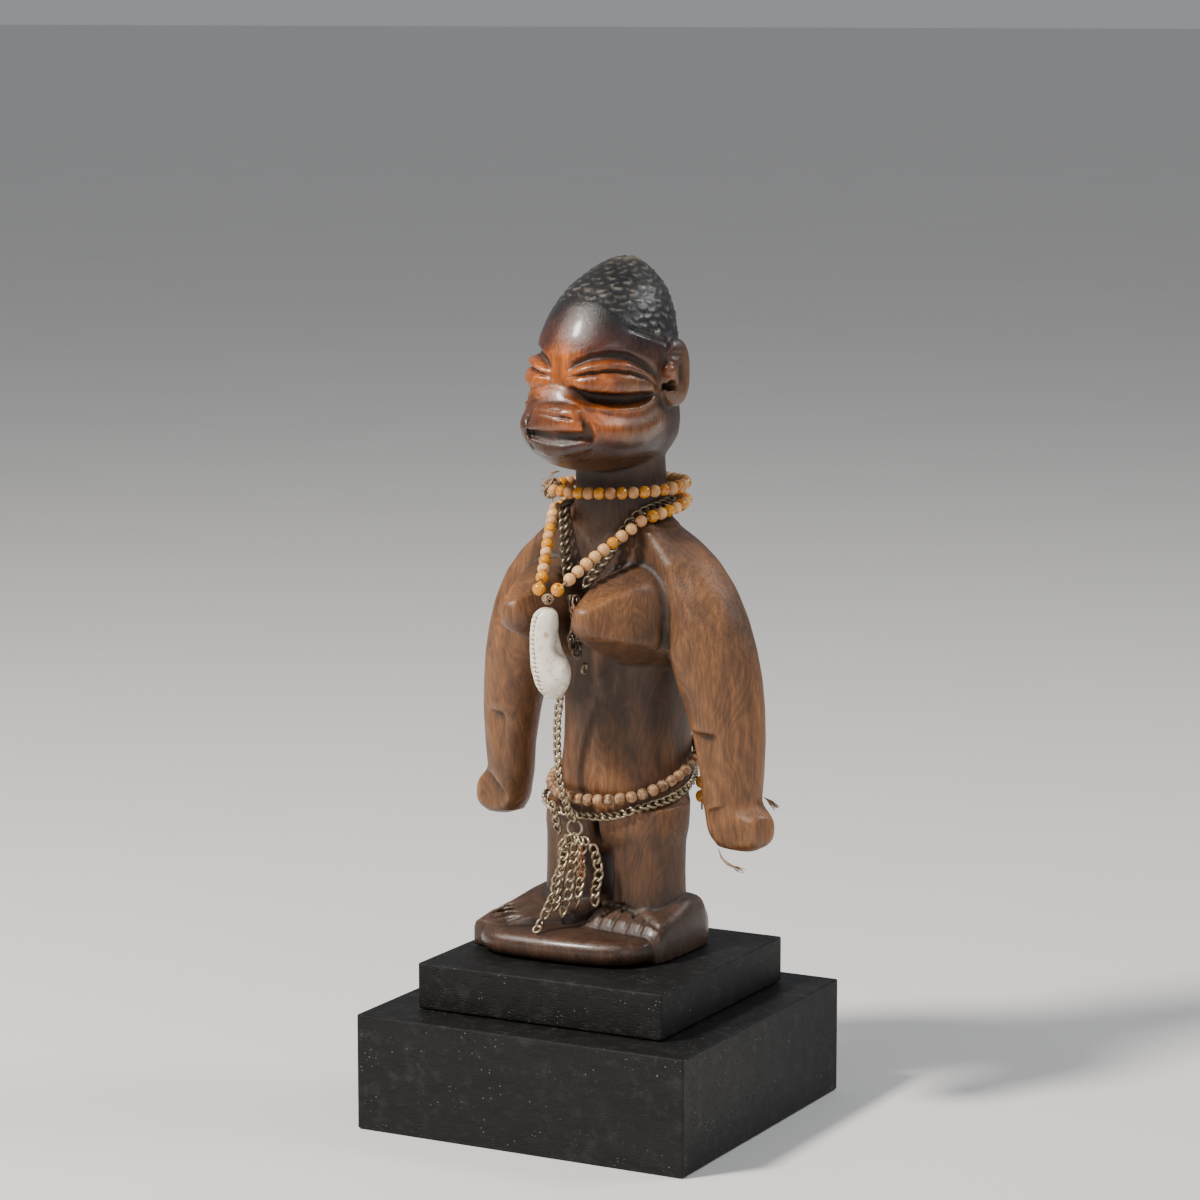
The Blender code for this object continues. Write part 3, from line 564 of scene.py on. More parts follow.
def sculpt_body(clay):
    clay.add(stack(TORSO), 0)
    for side in (1, -1):
        clay.add(loft(ARM, side, ARM_TURN), 3.0)
        clay.add(loft(LEG, side), 3.0)
        clay.add(faceted_breast(side), 1.3)
    for centre, halves in (((42.4, -0.4, 37.4), (8.8, 6.4, 6.0)), ((-43.4, -0.4, 36.8), (7.2, 5.2, 5.8))):
        clay.add(ball(centre, halves, power=2.5), 3.0)
    # collar hollow, shoulder crests, the crease beside each breast and the elbow notches
    clay.cut(bar([(-10.0, -12.6, 122.0), (0, -13.8, 113.6), (10.0, -12.6, 122.0)], (1.0, 1.5, 1.0)), 1.8)
    for side in (1, -1):
        clay.add(bar([(side * 11.5, -7.8, 121.0), (side * 17.0, -8.0, 115.6), (side * 24.0, -9.2, 108.6),
                      (side * 27.4, -9.8, 103.0)], (1.4, 2.6, 2.4, 0.8)), 2.4)
        clay.cut(bar([(side * 24.2, -14.8, 105.0), (side * 26.2, -14.2, 97.0), (side * 25.0, -13.4, 88.0),
                      (side * 20.0, -13.8, 81.6)], (0.5, 1.1, 1.1, 0.4)), 1.2)
    clay.cut(ball((34.2, -12.6, 57.0), (6.4, 4.2, 7.2), power=7), 0.5)
    clay.cut(ball((-40.4, -11.8, 55.0), (6.6, 3.4, 7.4), power=7), 0.5)
    clay.cut(bar([(-17.0, -11.4, 42.4), (-9.0, -17.2, 41.0), (0, -18.6, 40.6), (9.0, -17.2, 41.0),
                  (17.0, -11.4, 42.4)], 1.3), 1.4)
    # the hands' knife-cut faces
    clay.cut(half_space((50.2, -2.0, 38.0), (1.0, -0.25, 0.05), 8.0), 0.5)
    clay.cut(half_space((41.0, -6.2, 36.0), (0.1, -1.0, -0.1), 8.0), 0.5)
    clay.cut(half_space((-50.0, -1.0, 38.0), (-1.0, -0.2, 0.2), 7.0), 0.5)
    clay.cut(half_space((-43.0, -5.2, 36.0), (-0.1, -1.0, 0.05), 7.0), 0.5)


def half_space(point, outward, reach):
    """Everything beyond a plane, within reach of the point."""
    point = np.array(point, float)
    outward = np.array(outward, float) / np.linalg.norm(outward)

    def distance(u, v, w):
        beyond = (u - point[0]) * outward[0] + (v - point[1]) * outward[1] + (w - point[2]) * outward[2]
        away = np.sqrt((u - point[0]) ** 2 + (v - point[1]) ** 2 + (w - point[2]) ** 2) - reach
        return np.maximum(-beyond, away)

    return point - reach, point + reach, distance


def faceted_breast(side):
    """Blunt cone whose top and outer side are knife-cut planes."""
    low, high, round_cone = loft(BREAST, side, soften=1.2, upright=False)
    planes = [
        ((9.4, -18.0, 106.0), (0.10, -0.42, 1.0)),
        ((20.6, -22.0, 98.0), (1.0, -0.48, 0.12)),
        ((16.0, -26.0, 88.6), (0.35, -0.42, -1.0)),
        ((6.4, -24.0, 100.0), (-1.0, -0.40, 0.35)),
    ]

    def distance(u, v, w):
        result = round_cone(u, v, w)
        for point, outward in planes:
            outward = np.array(outward) / np.linalg.norm(outward)
            across = (side * u - point[0]) * outward[0]
            beyond = across + (v - point[1]) * outward[1] + (w - point[2]) * outward[2]
            result = smooth_max(result, beyond, 0.8)
        return result

    return low, high, distance


def hair_mask(u, v, w):
    """1 on the cap of carved hair, 0 on the face and neck."""
    angle = np.degrees(np.arctan2(np.abs(u), -(v + 4.0)))
    line = np.interp(angle, (0, 25, 45, 60, 80, 95, 110, 180), (181, 180, 177, 174, 170.5, 168.5, 160, 146))
    ear = smoothstep(15.6, 16.6, np.abs(u)) * smoothstep(172.0, 170.0, w) * smoothstep(10.0, 8.0, v)
    return smoothstep(-0.8, 0.8, w - line) * (1 - ear)


HAIR_ROW = 2.05
HAIR_TICK = 3.5


def hair_ticks(u, v, w):
    """Rows of small arched ticks round the head: 1 on a tick, 0 between."""
    radius = np.hypot(u, (v + 3.0) * 0.85)
    turn = np.arctan2(u, -(v + 3.0))
    drop = (192.0 - w) * 0.72 + radius * 0.62
    drop = drop + 0.35 * np.sin(turn * 9.0 + drop * 0.6)
    row = np.floor(drop / HAIR_ROW)
    inner = drop / HAIR_ROW - row
    wide = np.interp(row * HAIR_ROW, (0, 6, 12, 18, 26, 60), (2, 6, 11, 15, 17.4, 17.8))
    count = np.maximum(4, np.round(wide * math.tau / HAIR_TICK))
    seat = turn / math.tau * count + 0.5 * (row % 2) + 0.31 * np.sin(row * 12.9)
    tick = np.floor(seat)
    slot = seat - tick - 0.5
    wobble = np.sin(row * 5.3 + tick * 9.1)
    tilt = 0.7 * np.sin(row * 3.7 + tick * 5.9)
    arch = 0.58 - 1.4 * slot * slot + tilt * slot + 0.14 * wobble
    line = 1 - np.abs(inner - arch) / 0.25
    ends = 1 - smoothstep(0.28, 0.44, np.abs(slot))
    strength = 0.72 + 0.28 * np.sin(row * 7.9 + tick * 2.3)
    return np.clip(line, 0, 1) * ends * strength


def hair_relief(u, v, w):
    """Ticks that stand out of a cap lowered a little from the forehead."""
    return hair_mask(u, v, w) * (0.55 * hair_ticks(u, v, w) - 0.25)


def sculpt_figure():
    """The whole figure in clay, with its sole cut flat."""
    clay = Clay((-54, -44, -2), (54, 27, 194), CELL)
    sculpt_body(clay)
    clay.add(stack(HEAD, 2.0), 1.6)
    sculpt_face(clay)
    for side in (1, -1):
        sculpt_ear(clay, side)
    clay.emboss((-24, -34, 140), (24, 26, 194), hair_relief)
    sculpt_feet(clay)
    cuts, (_, _, w) = clay.window((-60, -60, -5), (60, 60, 12))
    clay.field[cuts] = np.maximum(clay.field[cuts], -w)
    return clay


# ---------------------------------------------------------------- pieces from points and faces


def add_piece(name, points, faces, mat, body, nodes, slot, attributes=None):
    """Object from points in the figure's millimetres, riding on a body in place of its CAD nodes."""
    mesh = bpy.data.meshes.new(name)
    place = np.array(FIGURE)
    points = np.asarray(points, float) @ place[:3, :3].T + place[:3, 3]
    mesh.from_pydata(points, [], faces)
    mesh.shade_smooth()
    for key, values in (attributes or {}).items():
        values = np.asarray(values, float)
        if values.ndim == 1:
            layer = mesh.attributes.new(key, "FLOAT", "POINT")
            layer.data.foreach_set("value", values)
        else:
            layer = mesh.attributes.new(key, "FLOAT_COLOR", "POINT")
            layer.data.foreach_set("color", np.column_stack([values, np.ones(len(values))]).ravel())
    mesh.materials.append(mat)
    obj = bpy.data.objects.new(name, mesh)
    bpy.context.scene.collection.objects.link(obj)
    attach(obj, body)
    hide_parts(*nodes)


class Parts:
    """Points, faces and a tone per point, gathered from many small shapes."""

    def __init__(self):
        self.points = []
        self.faces = []
        self.tones = []

    def take(self, points, faces, tone=0.0):
        start = len(self.points)
        self.points.extend(tuple(p) for p in points)
        self.faces.extend(tuple(start + i for i in face) for face in faces)
        self.tones.extend([tone] * len(points))

    def place(self, name, mat, body, nodes, slot):
        """Makes one piece of what was gathered."""
        add_piece(name, self.points, self.faces, mat, body, nodes, slot, {"tone": self.tones})


def grid_faces(rings, sides, closed=True):
    """Quads between rings of points, the last ring joined to the first when closed."""
    faces = []
    for i in range(rings if closed else rings - 1):
        for j in range(sides):
            k = (j + 1) % sides
            after = (i + 1) % rings
            faces.append((i * sides + j, i * sides + k, after * sides + k, after * sides + j))
    return faces


def tube(points, radius, sides=8, closed=False, taper=0.0):
    """Round wire along points; taper narrows both ends of an open one."""
    points = [Vector(p) for p in points]
    count = len(points)
    rings = []
    for i, (direction, cross, upright) in enumerate(path_frames(points, closed)):
        part = i / max(1, count - 1)
        size = radius * (1 - taper * abs(2 * part - 1) ** 3)
        for k in range(sides):
            turn = math.tau * k / sides
            rings.append(points[i] + size * (cross * math.cos(turn) + upright * math.sin(turn)))
    faces = grid_faces(count, sides, closed)
    if not closed:
        faces.append(tuple(reversed(range(sides))))
        faces.append(tuple((count - 1) * sides + k for k in range(sides)))
    return rings, faces


def path_frames(path, closed):
    """Direction and two steady cross directions at each point of a path."""
    count = len(path)
    frames = []
    cross = None
    for i in range(count):
        ahead = path[(i + 1) % count] if closed or i < count - 1 else path[i]
        behind = path[i - 1] if closed or i > 0 else path[i]
        direction = (ahead - behind).normalized()
        if cross is None:
            cross = direction.orthogonal().normalized()
        cross = (cross - direction * cross.dot(direction)).normalized()
        frames.append((direction, cross, direction.cross(cross)))
    return frames


CURVE_STEPS = 24


def even_curve(points, spacing, closed=False):
    """Catmull-Rom curve through points, cut into equal steps near spacing."""
    points = [Vector(p) for p in points]
    count = len(points)
    fine = []
    for i in range(count if closed else count - 1):
        if closed:
            a, b, c, d = (points[(i + k) % count] for k in (-1, 0, 1, 2))
        else:
            a, b, c, d = (points[min(max(i + k, 0), count - 1)] for k in (-1, 0, 1, 2))
        for t in np.arange(CURVE_STEPS) / CURVE_STEPS:
            curve = 2 * b + (c - a) * t + (2 * a - 5 * b + 4 * c - d) * t**2 + (3 * b - a - 3 * c + d) * t**3
            fine.append(curve / 2)
    fine.append(points[0] if closed else points[-1])
    fine = np.array(fine)
    lengths = np.concatenate([[0], np.cumsum(np.linalg.norm(np.diff(fine, axis=0), axis=1))])
    steps = max(2, round(lengths[-1] / spacing))
    targets = np.arange(steps if closed else steps + 1) * lengths[-1] / steps
    columns = [np.interp(targets, lengths, fine[:, k]) for k in range(3)]
    return [Vector(p) for p in np.column_stack(columns)]


class Dresser:
    """Lays strings on the figure so that each clears everything laid before it."""

    GAP = 0.12

    def __init__(self, points, faces):
        self.skin = BVHTree.FromPolygons([Vector(p) for p in points], [tuple(f) for f in faces])
        self.trees = [self.skin]

    def cover(self, path, radius, closed=False):
        """Keeps later strings clear of a tube of this radius along the path."""
        points, faces = tube(path, radius, 8, closed)
        self.trees.append(BVHTree.FromPolygons(points, faces))

    def cover_ball(self, centre, halves):
        points = []
        for i in range(7):
            rise = math.pi * i / 6
            for k in range(12):
                turn = math.tau * k / 12
                way = (math.sin(rise) * math.cos(turn), math.sin(rise) * math.sin(turn), math.cos(rise))
                points.append(Vector(centre[a] + halves[a] * way[a] for a in range(3)))
        faces = [tuple(reversed(face)) for face in grid_faces(7, 12, False)]
        self.trees.append(BVHTree.FromPolygons(points, faces))

    def clear_point(self, point, clearance):
        for tree in self.trees:
            place, normal, _, distance = tree.find_nearest(point)
            away = point - place
            if away.dot(normal) < 0:
                point = place + normal * clearance
            elif distance < clearance:
                point = place + (away.normalized() if distance > 0.05 else normal) * clearance
        return point

    def route(self, points, spacing, radius, closed=False):
        """Even points on a smooth curve through the given ones, clear of what is there."""
        path = even_curve(points, spacing, closed)
        for _ in range(14):
            path = [self.clear_point(p, radius + self.GAP) for p in path]
            path = relaxed(path, closed)
        for _ in range(5):
            path = [self.clear_point(p, radius + self.GAP) for p in path]
        return path

    def away_from_skin(self, point):
        place, normal, _, _ = self.skin.find_nearest(point)
        return (point - place).normalized()


def relaxed(path, closed):
    """Each point moved a little towards the middle of its neighbours."""
    count = len(path)
    result = list(path)
    for i in range(count):
        if closed or 0 < i < count - 1:
            result[i] = path[i].lerp((path[i - 1] + path[(i + 1) % count]) / 2, 0.3)
    return result


# ---------------------------------------------------------------- beads, links and threads

BEAD_RADIUS = 1.8
BEAD_PITCH = 3.3
THREAD_RADIUS = 0.35
WIRE_RADIUS = 0.41
LINK_LENGTH = 3.75
LINK_WIDTH = 2.75
LINK_PITCH = 2.15
BEAD_LENGTH = 3.15
WAIST_BEAD_RADIUS = 1.72
WAIST_BEAD_REACH = 1.75
WAIST_BEAD_LENGTH = 3.05
WAIST_BEAD_PITCH = 3.25
AMBER_BEAD = (1.85, 3.4)
CHAIN_RADIUS = 1.0
LARGE_LINK_PITCH = 2.5
TASSEL_RADIUS = 0.9
RING_RADIUS = 2.2
RING_WIRE = 0.42
TWIST_WIRE = 0.2


def bead(centre, direction, radius, length, squash=1.0, sides=18):
    """Round bead with a hole along its direction."""
    direction = direction.normalized()
    cross = direction.orthogonal().normalized()
    upright = direction.cross(cross)
    hole = 0.26 * radius
    profile = []
    for i in range(9):
        turn = math.pi * (0.10 + 0.80 * i / 8)
        bulge = math.sin(turn) ** 0.8
        profile.append((-math.cos(turn) / math.cos(0.10 * math.pi) * length / 2, radius * bulge))
    profile += [(length * 0.46, hole), (-length * 0.46, hole)]
    points = []
    for along, away in profile:
        for k in range(sides):
            turn = math.tau * k / sides
            around = cross * math.cos(turn) + upright * math.sin(turn) * squash
            points.append(centre + direction * along + away * around)
    return points, grid_faces(len(profile), sides)


def link(centre, direction, across, roll=0.0, length=LINK_LENGTH, width=LINK_WIDTH, wire=WIRE_RADIUS,
         twist=45):
    """Curb link: an oval of wire twisted along its length, so that neighbours hook through its ends."""
    direction = direction.normalized()
    across = (across - direction * across.dot(direction)).normalized()
    upright = direction.cross(across)
    half, side = length / 2 - wire, width / 2 - wire
    path = []
    for i in range(20):
        turn = math.tau * i / 20
        bend = math.radians(roll + twist * math.cos(turn))
        sideways = side * math.copysign(abs(math.sin(turn)) ** 0.8, math.sin(turn))
        around = across * math.cos(bend) + upright * math.sin(bend)
        path.append(centre + direction * half * math.cos(turn) + sideways * around)
    return tube(path, wire, 7, closed=True)


def chain(parts, path, closed=False, dresser=None, hang=(0, 0, 0), loose=6.0, **sizes):
    """Links along a path, flat on the skin where there is a dresser, and turned to face along hang."""
    count = len(path)
    for i in range(count if closed else count - 1):
        here, there = path[i], path[(i + 1) % count]
        middle = (here + there) / 2
        direction = there - here
        normal = Vector(hang)
        if dresser:
            normal += dresser.away_from_skin(middle)
        across = direction.cross(normal)
        points, faces = link(middle, direction, across, RNG.normal(0, loose), **sizes)
        parts.take(points, faces, RNG.random())


def frayed(parts, points, strands, spread, radius):
    """Bundle of fibres along points that opens towards its end."""
    path = even_curve(points, 0.5)
    count = len(path)
    for _ in range(strands):
        drift = Vector(RNG.normal(0, 1, 3)) * spread
        wave = RNG.uniform(0, math.tau, 3)
        reach = int(count * RNG.uniform(0.6, 1.0))
        fibre = []
        for i in range(max(4, reach)):
            part = i / count
            curl = Vector(math.sin(2.2 * i / 3 + wave[k]) for k in range(3)) * 0.16
            fibre.append(path[min(i, count - 1)] + drift * part**1.6 + curl * (0.3 + part))
        ring, faces = tube(fibre, radius, 5, taper=0.6)
        parts.take(ring, faces, RNG.random())


def tangle(parts, centre, halves, loops, radius=0.22):
    """Knot: loops of cord wound over a small ball."""
    centre = Vector(centre)
    for _ in range(loops):
        axis = Vector(RNG.normal(0, 1, 3)).normalized()
        cross = axis.orthogonal().normalized()
        upright = axis.cross(cross)
        size = RNG.uniform(0.72, 0.98)
        tilt = RNG.uniform(-0.35, 0.35)
        path = []
        for i in range(22):
            turn = math.tau * i / 22
            wave = tilt + 0.14 * math.sin(3 * turn)
            way = (cross * math.cos(turn) + upright * math.sin(turn) + axis * wave).normalized()
            path.append(centre + Vector(size * way[k] * (halves[k] - radius) for k in range(3)))
        ring, faces = tube(path, radius, 6, closed=True)
        parts.take(ring, faces, RNG.random())


# ---------------------------------------------------------------- materials


class Surface:
    """A procedural material put together from sockets."""

    def __init__(self, name):
        self.made = bpy.data.materials.new(name)
        self.made.use_nodes = True
        self.tree = self.made.node_tree
        self.shader = self.tree.nodes["Principled BSDF"]
        self.place = self.figure_coordinates()

    def node(self, kind, inputs=(), **settings):
        made = self.tree.nodes.new(kind)
        for key, value in settings.items():
            setattr(made, key, value)
        for key, value in dict(inputs).items():
            self.give(made.inputs[key], value)
        return made

    def give(self, socket, value):
        if isinstance(value, bpy.types.NodeSocket):
            self.tree.links.new(value, socket)
        elif socket.type == "RGBA":
            socket.default_value = (*value, 1)
        else:
            socket.default_value = value

    def figure_coordinates(self):
        """Position in the figure's millimetres."""
        where = self.node("ShaderNodeTexCoord").outputs["Object"]
        turn = FIGURE.to_euler()
        mapping = self.node("ShaderNodeMapping", {"Vector": where}, vector_type="TEXTURE")
        mapping.inputs["Location"].default_value = FIGURE.translation
        mapping.inputs["Rotation"].default_value = turn
        mapping.inputs["Scale"].default_value = (MM, MM, MM)
        return mapping.outputs[0]

    def stretched(self, scale):
        return self.node("ShaderNodeMapping", {"Vector": self.place, "Scale": scale}).outputs[0]

    def noise(self, scale, detail=3.0, stretch=None, distortion=0.0, roughness=0.55):
        vector = self.stretched(stretch) if stretch else self.place
        inputs = {"Vector": vector, "Scale": scale, "Detail": detail, "Distortion": distortion,
                  "Roughness": roughness}
        return self.node("ShaderNodeTexNoise", inputs).outputs["Fac"]

    def cells(self, scale):
        inputs = {"Vector": self.place, "Scale": scale}
        return self.node("ShaderNodeTexVoronoi", inputs).outputs["Distance"]

    def value(self, name):
        return self.node("ShaderNodeAttribute", attribute_name=name).outputs["Fac"]

    def colour(self, name):
        return self.node("ShaderNodeAttribute", attribute_name=name).outputs["Color"]

    def span(self, value, low, high, to_low=0.0, to_high=1.0):
        inputs = {"Value": value, "From Min": low, "From Max": high, "To Min": to_low, "To Max": to_high}
        return self.node("ShaderNodeMapRange", inputs).outputs[0]

    def calc(self, operation, *values):
        return self.node("ShaderNodeMath", dict(enumerate(values)), operation=operation).outputs[0]

    def sum(self, a, b):
        return self.calc("ADD", a, b)

    def times(self, a, b):
        return self.calc("MULTIPLY", a, b)

    def mix(self, part, a, b, blend="MIX"):
        made = self.node("ShaderNodeMix", data_type="RGBA", blend_type=blend)
        for socket, value in zip((made.inputs[0], made.inputs[6], made.inputs[7]), (part, a, b)):
            self.give(socket, value)
        return made.outputs[2]

    def bump(self, height, distance, strength=1.0, under=None):
        inputs = {"Height": height, "Distance": distance * MM, "Strength": strength}
        made = self.node("ShaderNodeBump", inputs)
        if under:
            self.tree.links.new(under, made.inputs["Normal"])
        return made.outputs[0]

    def finish(self, **inputs):
        for key, value in inputs.items():
            self.give(self.shader.inputs[key.replace("_", " ")], value)
        return self.made


def carved_wood():
    """Oiled hardwood: painted tones from the sculpt, painted shade among them, broken up by grain, pores and
    specks of dust, with more painted shade in the hollows.
    """
    s = Surface("carved_wood_finish")
    paint = s.colour("paint")
    gloss = s.value("gloss")
    grain = s.noise(1.0, 5, (1.5, 1.5, 0.13), 0.9)
    swirl = s.noise(1.0, 4, (0.16, 0.16, 0.05), 1.4)
    fibre = s.noise(1.0, 3, (5.0, 5.0, 0.35), 0.4)
    tone = s.times(s.span(grain, 0.3, 0.7, 0.68, 1.26), s.span(swirl, 0.3, 0.7, 0.66, 1.28))
    growth = s.times(s.noise(1.0, 2, (0.05, 0.05, 0.022), 0.6), 120.0)
    rings = s.calc("SINE", growth)
    tone = s.times(tone, s.span(rings, -1, 1, 0.86, 1.15))
    tone = s.times(tone, s.span(fibre, 0.25, 0.75, 0.78, 1.20))
    grey = s.node("ShaderNodeCombineColor", {0: tone, 1: tone, 2: tone}).outputs[0]
    base = s.mix(1.0, paint, grey, "MULTIPLY")
    speck = s.span(s.cells(0.75), 0.10, 0.05)
    sparse = s.span(s.noise(0.35, 2), 0.56, 0.66)
    dust = s.times(s.times(speck, sparse), s.span(gloss, 0.3, 0.6, 0.7, 0.15))
    base = s.mix(dust, base, (0.30, 0.22, 0.15))
    # painted shade: the hollows darkened further, broken up by noise
    hollow_shade = s.times(s.span(s.noise(0.5, 6, roughness=0.7), 0.50, 0.72), s.value("hollow"))
    base = s.mix(s.times(hollow_shade, 0.7), base, (0.050, 0.036, 0.027))
    rough = s.sum(s.span(gloss, 0, 1, 0.56, 0.24), s.span(grain, 0.3, 0.7, -0.06, 0.08))
    height = s.sum(s.times(grain, 0.7), s.times(fibre, 0.5))
    flat = s.bump(height, 0.14, 0.7)
    scars = s.bump(s.noise(0.9, 6, roughness=0.75), 0.22, 0.6, flat)
    return s.finish(Base_Color=base, Roughness=rough, Normal=scars,
                    Coat_Weight=s.span(gloss, 0.35, 1, 0, 0.35), Coat_Roughness=0.16)


def stained_wood():
    """Near-black open-pored plinth wood with specks and a haze of dust."""
    s = Surface("plinth_wood_finish")
    pores = s.noise(1.0, 4, (0.16, 2.6, 2.6), 0.3)
    broad = s.noise(1.0, 3, (0.02, 0.30, 0.30), 1.2)
    streak = s.span(pores, 0.54, 0.70)
    base = s.mix(s.span(broad, 0.35, 0.65), (0.0030, 0.0028, 0.0028), (0.0062, 0.0058, 0.0056))
    base = s.mix(s.times(streak, 0.55), base, (0.0022, 0.0020, 0.0020))
    speck = s.times(s.span(s.cells(0.7), 0.14, 0.08), s.span(s.noise(0.12, 3), 0.50, 0.60))
    haze = s.times(s.span(s.noise(0.22, 7, roughness=0.7), 0.52, 0.80), 0.12)
    base = s.mix(s.calc("MAXIMUM", speck, haze), base, (0.20, 0.19, 0.18))
    rough = s.span(pores, 0.35, 0.70, 0.46, 0.62)
    dents = s.bump(s.times(streak, -1.0), 0.16, 0.7)
    return s.finish(Base_Color=base, Roughness=rough, Specular_IOR_Level=0.28, Normal=dents)


def clay_bead():
    s = Surface("clay_bead_finish")
    tone = s.value("tone")
    mottle = s.noise(0.8, 5, roughness=0.65)
    base = s.mix(tone, (0.82, 0.46, 0.19), (0.40, 0.17, 0.055))
    base = s.mix(s.span(mottle, 0.50, 0.72, 0, 0.5), base, (0.20, 0.095, 0.045))
    return s.finish(Base_Color=base, Roughness=s.span(mottle, 0.3, 0.7, 0.34, 0.55), Subsurface_Weight=0.12,
                    Subsurface_Radius=(0.004, 0.002, 0.001), Normal=s.bump(mottle, 0.12, 0.5))


def waist_bead():
    s = Surface("dusty_bead_finish")
    tone = s.value("tone")
    mottle = s.noise(0.7, 6, roughness=0.7)
    base = s.mix(tone, (0.42, 0.20, 0.075), (0.13, 0.055, 0.022))
    base = s.mix(s.span(mottle, 0.46, 0.62, 0, 0.8), base, (0.54, 0.37, 0.22))
    base = s.mix(s.span(s.noise(1.3, 4), 0.54, 0.66, 0, 0.7), base, (0.085, 0.035, 0.016))
    rough = s.span(mottle, 0.3, 0.7, 0.36, 0.62)
    return s.finish(Base_Color=base, Roughness=rough, Normal=s.bump(mottle, 0.16, 0.6))


def amber_glass():
    s = Surface("amber_glass_finish")
    tone = s.value("tone")
    cloud = s.noise(0.6, 4, distortion=1.0)
    base = s.mix(tone, (1.0, 0.42, 0.006), (0.56, 0.20, 0.010))
    base = s.mix(s.span(cloud, 0.5, 0.75, 0, 0.5), base, (0.95, 0.55, 0.08))
    return s.finish(Base_Color=base, Roughness=0.12, Transmission_Weight=0.3, IOR=1.5, Coat_Weight=0.4,
                    Subsurface_Weight=0.3, Subsurface_Radius=(0.006, 0.003, 0.001),
                    Normal=s.bump(cloud, 0.06, 0.5))


def chain_metal():
    """Worn brass with grey tarnish in patches."""
    s = Surface("chain_metal_finish")
    tone = s.value("tone")
    patch = s.noise(0.45, 5, roughness=0.7)
    base = s.mix(s.span(patch, 0.42, 0.66), (0.52, 0.42, 0.29), (0.17, 0.135, 0.10))
    base = s.mix(s.times(tone, 0.5), base, (0.42, 0.31, 0.18))
    base = s.mix(s.value("tarnish"), base, (0.055, 0.045, 0.038))
    return s.finish(Base_Color=base, Metallic=s.span(patch, 0.4, 0.8, 1.0, 0.6),
                    Roughness=s.span(patch, 0.3, 0.7, 0.28, 0.55), Normal=s.bump(patch, 0.08, 0.6))


def copper_metal():
    s = Surface("copper_wire_finish")
    patch = s.noise(1.2, 4)
    base = s.mix(s.span(patch, 0.4, 0.65), (0.62, 0.25, 0.14), (0.25, 0.09, 0.055))
    return s.finish(Base_Color=base, Metallic=1.0, Roughness=s.span(patch, 0.3, 0.7, 0.25, 0.5),
                    Normal=s.bump(patch, 0.05, 0.5))


def fibre():
    s = Surface("cord_fibre_finish")
    tone = s.value("tone")
    base = s.mix(tone, (0.46, 0.33, 0.20), (0.22, 0.13, 0.075))
    strands = s.noise(4.0, 3)
    base = s.mix(s.span(strands, 0.4, 0.7, 0, 0.5), base, (0.14, 0.09, 0.06))
    return s.finish(Base_Color=base, Roughness=0.9, Normal=s.bump(strands, 0.08, 0.8))


def straw_fibre():
    """Reddish straw caught in the chain."""
    s = Surface("straw_fibre_finish")
    streak = s.noise(3.0, 3)
    return s.finish(Base_Color=s.mix(streak, (0.50, 0.26, 0.16), (0.26, 0.10, 0.055)), Roughness=0.7,
                    Normal=s.bump(streak, 0.06, 0.6))


def shell_surface():
    """Polished cowrie back with brown stains, and painted shade darkening its slot and hollows."""
    s = Surface("cowrie_finish")
    stain = s.noise(0.42, 5, distortion=0.6, roughness=0.65)
    ridge = s.noise(1.0, 3, (0.25, 0.25, 1.6))
    base = s.mix(s.span(stain, 0.52, 0.66, 0, 0.75), (0.86, 0.79, 0.67), (0.44, 0.25, 0.11))
    # painted shade: the slot and the other hollows darkened
    base = s.mix(s.value("hollow"), base, (0.16, 0.09, 0.05))
    base = s.mix(s.span(ridge, 0.5, 0.8, 0, 0.25), base, (0.62, 0.50, 0.36))
    return s.finish(Base_Color=base, Roughness=s.span(stain, 0.4, 0.7, 0.18, 0.42), Coat_Weight=0.3,
                    Subsurface_Weight=0.15, Subsurface_Radius=(0.004, 0.003, 0.002),
                    Normal=s.bump(stain, 0.10, 0.4))


def brushed_steel():
    s = Surface("pin_steel_finish")
    drawn = s.noise(1.0, 3, (3.0, 3.0, 0.1))
    return s.finish(Base_Color=s.mix(drawn, (0.50, 0.50, 0.52), (0.34, 0.34, 0.35)), Metallic=1.0,
                    Roughness=s.span(drawn, 0.3, 0.7, 0.28, 0.45))


# ---------------------------------------------------------------- routes of strings and chains

CHOKER = [
    (-10.6, -16.6, 127.6), (0, -18.8, 127.8), (14, -11.5, 128.2), (18.6, 2, 128.8), (13, 14, 129.2),
    (0, 18, 129.0), (-13, 13, 128.4), (-18.4, 1, 128.0), (-17.2, -7.6, 127.8),
]
NECKLACE = [
    (5.6, -30.2, 106.0), (8.0, -22.4, 111.6), (11.6, -13.5, 117.2), (15.8, -3.0, 121.8), (17.6, 6.0, 123.6),
    (12.6, 15.0, 124.2), (0, 18.6, 124.2), (-12.6, 15.0, 123.8), (-18.2, 4.0, 122.8), (-16.8, -8.0, 121.6),
    (-12.8, -15.4, 117.6), (-8.0, -23.2, 111.6), (-3.8, -30.4, 105.8),
]
NECK_CHAIN = [
    (2.8, -20.2, 102.6), (5.4, -17.4, 107.6), (8.0, -14.2, 112.6), (9.8, -12.4, 117.4), (13.2, -6.4, 122.4),
    (14.6, 2.0, 124.4), (10.6, 10.8, 124.8), (0, 15.0, 124.8), (-10.6, 10.4, 124.6), (-14.0, 0, 124.2),
    (-12.2, -9.6, 121.4), (-7.2, -16.0, 112.4), (-2.4, -20.2, 102.6),
]
WAIST_BEADS = [
    (0, -20.6, 43.0), (11.5, -16.0, 43.4), (19.2, -6.5, 46.4), (21.0, 3.5, 50.6), (16.0, 15.0, 54.0),
    (0, 23.4, 55.0), (-16.0, 15.0, 52.0), (-21.0, 2.0, 48.4), (-19.0, -8.0, 45.4), (-11.0, -16.6, 43.6),
]
